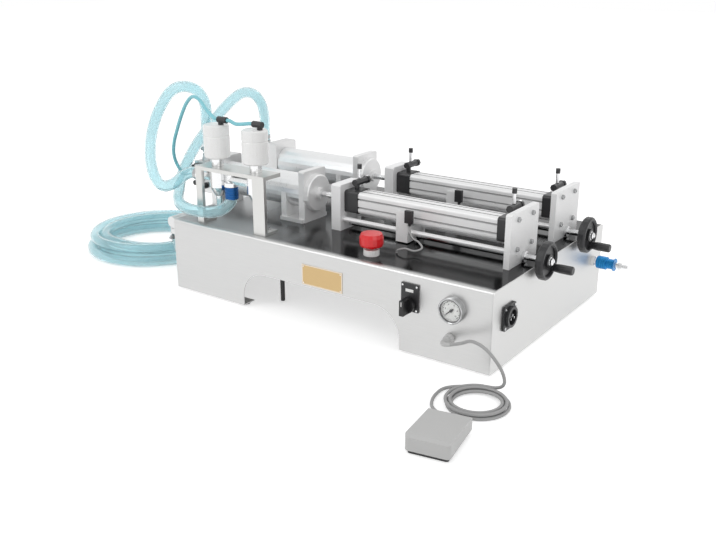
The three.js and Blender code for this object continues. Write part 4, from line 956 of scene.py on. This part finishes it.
lens = Shape()
lens.turned([
    (0, 12.3), (8, 12.2), (15, 11.9), (21.4, 11.2), (21.4, 10.8), (15, 11.3), (8, 11.6), (0, 11.7),
], GAUGE, FRONT, 48)
glass = Finish("gauge_glass", Metallic=0.0, IOR=1.3, Transmission_Weight=1.0)
haze = noise(glass, (120, 120, 120))
glass.to(
    Base_Color=blend(glass, haze, (0.97, 0.98, 0.98, 1), (1, 1, 1, 1)),
    Roughness=(0.01 + haze * 0.02).kept(),
)
lens.finished("gauge_glass", glass)


DIAL_START, TICK_TURN, NUMBER_TURN = -135, 5.4, 27
DIAL_FACE, TICKS_OUT, NUMBERS_OUT = 8.1, 17.4, 12.4


def on_dial(degrees, out):
    """A place on the dial, clockwise from the top."""
    angle = math.radians(degrees)
    return GAUGE + Vector((math.sin(angle) * out, -DIAL_FACE, math.cos(angle) * out))


marks = Shape()
for tick in range(51):
    degrees = tick * TICK_TURN + DIAL_START
    width, reach = (0.8, 3.2) if tick % 5 == 0 else (0.4, 1.8)
    marks.block((width, 0.2, reach), on_dial(degrees, TICKS_OUT), 0.03, degrees)
marks.finished("gauge_ticks", print_black)
for number in range(0, 11, 2):
    writing = bpy.data.curves.new("number", "FONT")
    writing.body, writing.size, writing.extrude = str(number), 4.6, 0.06
    writing.align_x, writing.align_y = "CENTER", "CENTER"
    drawn = bpy.data.objects.new("number", writing)
    scene.collection.objects.link(drawn)
    figure = Shape()
    figure.mesh.from_mesh(drawn_mesh(drawn))
    at = on_dial(number * NUMBER_TURN + DIAL_START, NUMBERS_OUT)
    upright = Matrix.Translation(at) @ Matrix.Rotation(math.pi / 2, 4, "X")
    bmesh.ops.transform(figure.mesh, matrix=upright, verts=figure.mesh.verts)
    figure.finished(f"gauge_number_{number}", print_black)

# %% [markdown]
# The selector has a small blank label above its knob and a white line on the knob's grip, which
# turns with it. Four small screws hold its plate.

# %% Selector label, mark and screws
label = Shape()
label.block((17, 0.6, 6), (627.5, -3.5, 132), 0.2)
label.finished("selector_label", white_enamel)
mark = Shape()
mark.block((1.6, 0.5, 9), (628, -32.7, 113.5), 0.2)
mark.finished("selector_mark", white_enamel, "selector")
plate_screws = Shape()
for x in (612.6, 643.4):
    for z in (94.4, 141.6):
        plate_screws.cap_screw((x, -3.2, z), FRONT, 2.0, 1.3)
plate_screws.finished("selector_screws", bright_steel)

# %% [markdown]
# The power socket is a black flange with three flat metal blades in its recess, on a grey insert.

# %% Socket
insert = Shape()
insert.block((6, 21, 17), (801.2, 60, 101), 2.0)
insert.finished("socket_insert", insert_grey)
blades = Shape()
for y, z in ((53.5, 98.5), (66.5, 98.5), (60, 105)):
    blades.block((8, 1.8, 4.6), (806, y, z), 0.4)
blades.finished("socket_blades", bright_steel)
flange_screws = Shape()
for y in (41.5, 78.5):
    for z in (82.5, 119.5):
        flange_screws.cap_screw((804.2, y, z), RIGHT, 2.6, 1.6)
flange_screws.finished("socket_screws", bright_steel)

# %% [markdown]
# Socket screws hold the machine together: four in each right plate, and smaller ones that bolt the
# nozzle stand to the deck. A dome nut closes each lead screw at its wheel.

# %% Socket screws and dome nuts
WHEEL_FACE, LEAD_SCREW_Z = 823.9, 177
for number, lane in enumerate(LANES, 1):
    plate_bolts = Shape()
    for y in (lane - 31, lane + 31):
        for z in (LANE_AXIS - 29, LANE_AXIS + 29):
            plate_bolts.cap_screw((PLATE_FACE, y, z), RIGHT, 4.9, 4.6)
    plate_bolts.finished(f"plate_bolts_{number}", dark_steel)
    nut = Shape()
    nut.turned([
        (8.4, 0), (8.4, 0.9), (7.0, 1.1), (7.0, 4.6), (5.6, 6.6), (3.2, 8.2), (0, 8.8),
    ], (WHEEL_FACE, lane, LEAD_SCREW_Z), RIGHT, 24)
    nut.finished(f"wheel_nut_{number}", turned_steel, f"screw_{number}")
foot_screws = Shape()
for x, y in ((71, 34), (71, 48), (242, 34), (242, 48)):
    foot_screws.cap_screw((x, y, 171.2), UP, 4.0, 3.6)
foot_screws.finished("stand_screws", dark_steel)

# %% [markdown]
# Each hose is pushed onto its fitting and held by a steel band with a worm screw. The second
# hose ends in a ribbed blue coupling instead. The band is a ring spun from a thin closed outline.

# %% Hose clamps and coupling


def clamp(name, at, out, side):
    """A band clamp round a hose, with its worm housing on the given side."""
    made = Shape()
    made.turned([
        (HOSE - 0.1, 0), (HOSE + 1.0, 0.3), (HOSE + 1.0, 8.7), (HOSE - 0.1, 9), (HOSE - 0.1, 0),
    ], at, out, 40)
    middle = Vector(at) + Vector(out) * 4.5 + Vector(side) * (HOSE + 3.2)
    made.block((9, 9, 9), middle, 1.4)
    made.cap_screw(middle + Vector((0, -4.4, 0)), FRONT, 3.4, 3.0)
    return made.finished(name, dark_steel)


clamp("clamp_hose_1", (OUTLET_X, LANES[0], OUTLET_Z + 5.2), UP, LEFT)
clamp("clamp_hose_2", (OUTLET_X, LANES[1], OUTLET_Z + 5.2), UP, LEFT)
clamp("clamp_nozzle_1", (43.5, NOZZLE_Y, 266), LEFT, UP)
clamp("clamp_suction", (-34, 40, 114.5), DOWN, FRONT)
coupling = Shape()
RIB_STEP = 5.2
ribs = [(HOSE + 0.1, 0), (HOSE + 1.6, 0.8)]
for rib in range(5):
    start = 1 + rib * RIB_STEP
    ribs += [(HOSE + 2.0, start + 0.4), (HOSE + 2.0, start + 3.4), (HOSE + 1.2, start + 3.8),
             (HOSE + 1.2, start + 5.0)]
coupling.turned(
    [*ribs, (HOSE + 0.1, 27.5), (HOSE + 0.1, 0)], (139, NOZZLE_Y, 250.6), DOWN, 40,
)
coupling.finished("nozzle_coupling", deep_blue)

# %% [markdown]
# Black push-in fittings close the unused ports of the front valve block, and a ribbed boot keeps
# the pedal's cable from kinking where it leaves its gland.

# %% Push-in fittings and cable boot
fittings = Shape()
push_in = [
    (7.2, 0), (7.2, 4.5), (5.8, 5.2), (5.8, 11), (5.2, 11.6), (5.2, 12.4), (6.0, 12.8), (6.0, 14.4),
    (5.4, 15), (0, 15),
]
front_face = LANES[0] - 30
for x, z in ((-68, 250), (-66, 212), (-42, 206), (-28, 250)):
    fittings.turned(push_in, (x, front_face + 0.2, z), FRONT, 24)
for y, z in ((164, 246), (190, 214)):
    fittings.turned(push_in, (-75.8, y, z), LEFT, 24)
fittings.finished("push_in_fittings", black_plastic)
boot_line = evenly(cable_arch, 90)[:14]
boot_sizes = [5.6 - 0.14 * step - (0.45 if step % 2 else 0.0) for step in range(len(boot_line))]
boot = lay_cord("cable_boot", boot_line, CABLE, 16, boot_sizes)
boot.data.materials.append(grey_plastic.material)
print("the boot is", round(line_length(boot_line) * 1000, 1), "mm long")

# %% [markdown]
# The studio is a pale floor under an even, soft light. The world is plain white where the camera
# or a mirror looks at it, and a little dimmer as a lamp, so that a colour renders about as it is
# written. The floor glows faintly to the camera, which hides its edge but keeps the shadow.

# %% Studio
WORLD_AS_LAMP = 0.62
LAMPS_AIM = Vector((0, 0.15, 0.15))
world = bpy.data.worlds.new("studio_world")
scene.world = world
world.use_nodes = True
backdrop = world.node_tree.nodes["Background"]
rays = world.node_tree.nodes.new("ShaderNodeLightPath")
seen = world.node_tree.nodes.new("ShaderNodeMath")
seen.operation = "ADD"
seen_all = world.node_tree.nodes.new("ShaderNodeMath")
seen_all.operation, seen_all.use_clamp = "ADD", True
level = world.node_tree.nodes.new("ShaderNodeMapRange")
level.inputs["To Min"].default_value, level.inputs["To Max"].default_value = WORLD_AS_LAMP, 1.0
connect = world.node_tree.links.new
connect(rays.outputs["Is Camera Ray"], seen.inputs[0])
connect(rays.outputs["Is Glossy Ray"], seen.inputs[1])
connect(seen.outputs[0], seen_all.inputs[0])
connect(rays.outputs["Is Transmission Ray"], seen_all.inputs[1])
connect(seen_all.outputs[0], level.inputs["Value"])
connect(level.outputs[0], backdrop.inputs["Strength"])
backdrop.inputs["Color"].default_value = (1, 1, 1, 1)

floor_finish = Finish("studio_floor", Roughness=0.6, Emission_Strength=1.0)
floor_finish.to(Base_Color=(0.86, 0.86, 0.86, 1))
floor_rays = floor_finish.tree.nodes.new("ShaderNodeLightPath")
seen_floor = (
    Wire(floor_finish, floor_rays.outputs["Is Camera Ray"])
    + Wire(floor_finish, floor_rays.outputs["Is Glossy Ray"])
    + Wire(floor_finish, floor_rays.outputs["Is Transmission Ray"])
).kept()
floor_finish.to(Emission_Color=blend(floor_finish, seen_floor, (0, 0, 0, 1), (0.5, 0.5, 0.5, 1)))
floor_mesh = bpy.data.meshes.new("studio_floor")
shape = bmesh.new()
bmesh.ops.create_grid(shape, x_segments=4, y_segments=4, size=12.0)
bmesh.ops.translate(shape, verts=shape.verts, vec=(0, 0, -0.0005))
shape.to_mesh(floor_mesh)
shape.free()
floor = bpy.data.objects.new("studio_floor", floor_mesh)
floor_mesh.materials.append(floor_finish.material)
scene.collection.objects.link(floor)

scene.view_settings.view_transform = "Standard"
for name, spot_at, size, power in (
    ("key_light", (-1.1, -1.7, 1.9), 1.4, 14.0),
    ("fill_light", (1.9, -0.9, 1.5), 1.2, 6.0),
    ("back_light", (0.3, 1.8, 1.8), 1.4, 5.0),
):
    light = bpy.data.lights.new(name, "AREA")
    light.size, light.energy = size, power
    lamp = bpy.data.objects.new(name, light)
    lamp.location = spot_at
    towards = LAMPS_AIM - lamp.location
    lamp.rotation_euler = towards.to_track_quat("-Z", "Y").to_euler()
    scene.collection.objects.link(lamp)
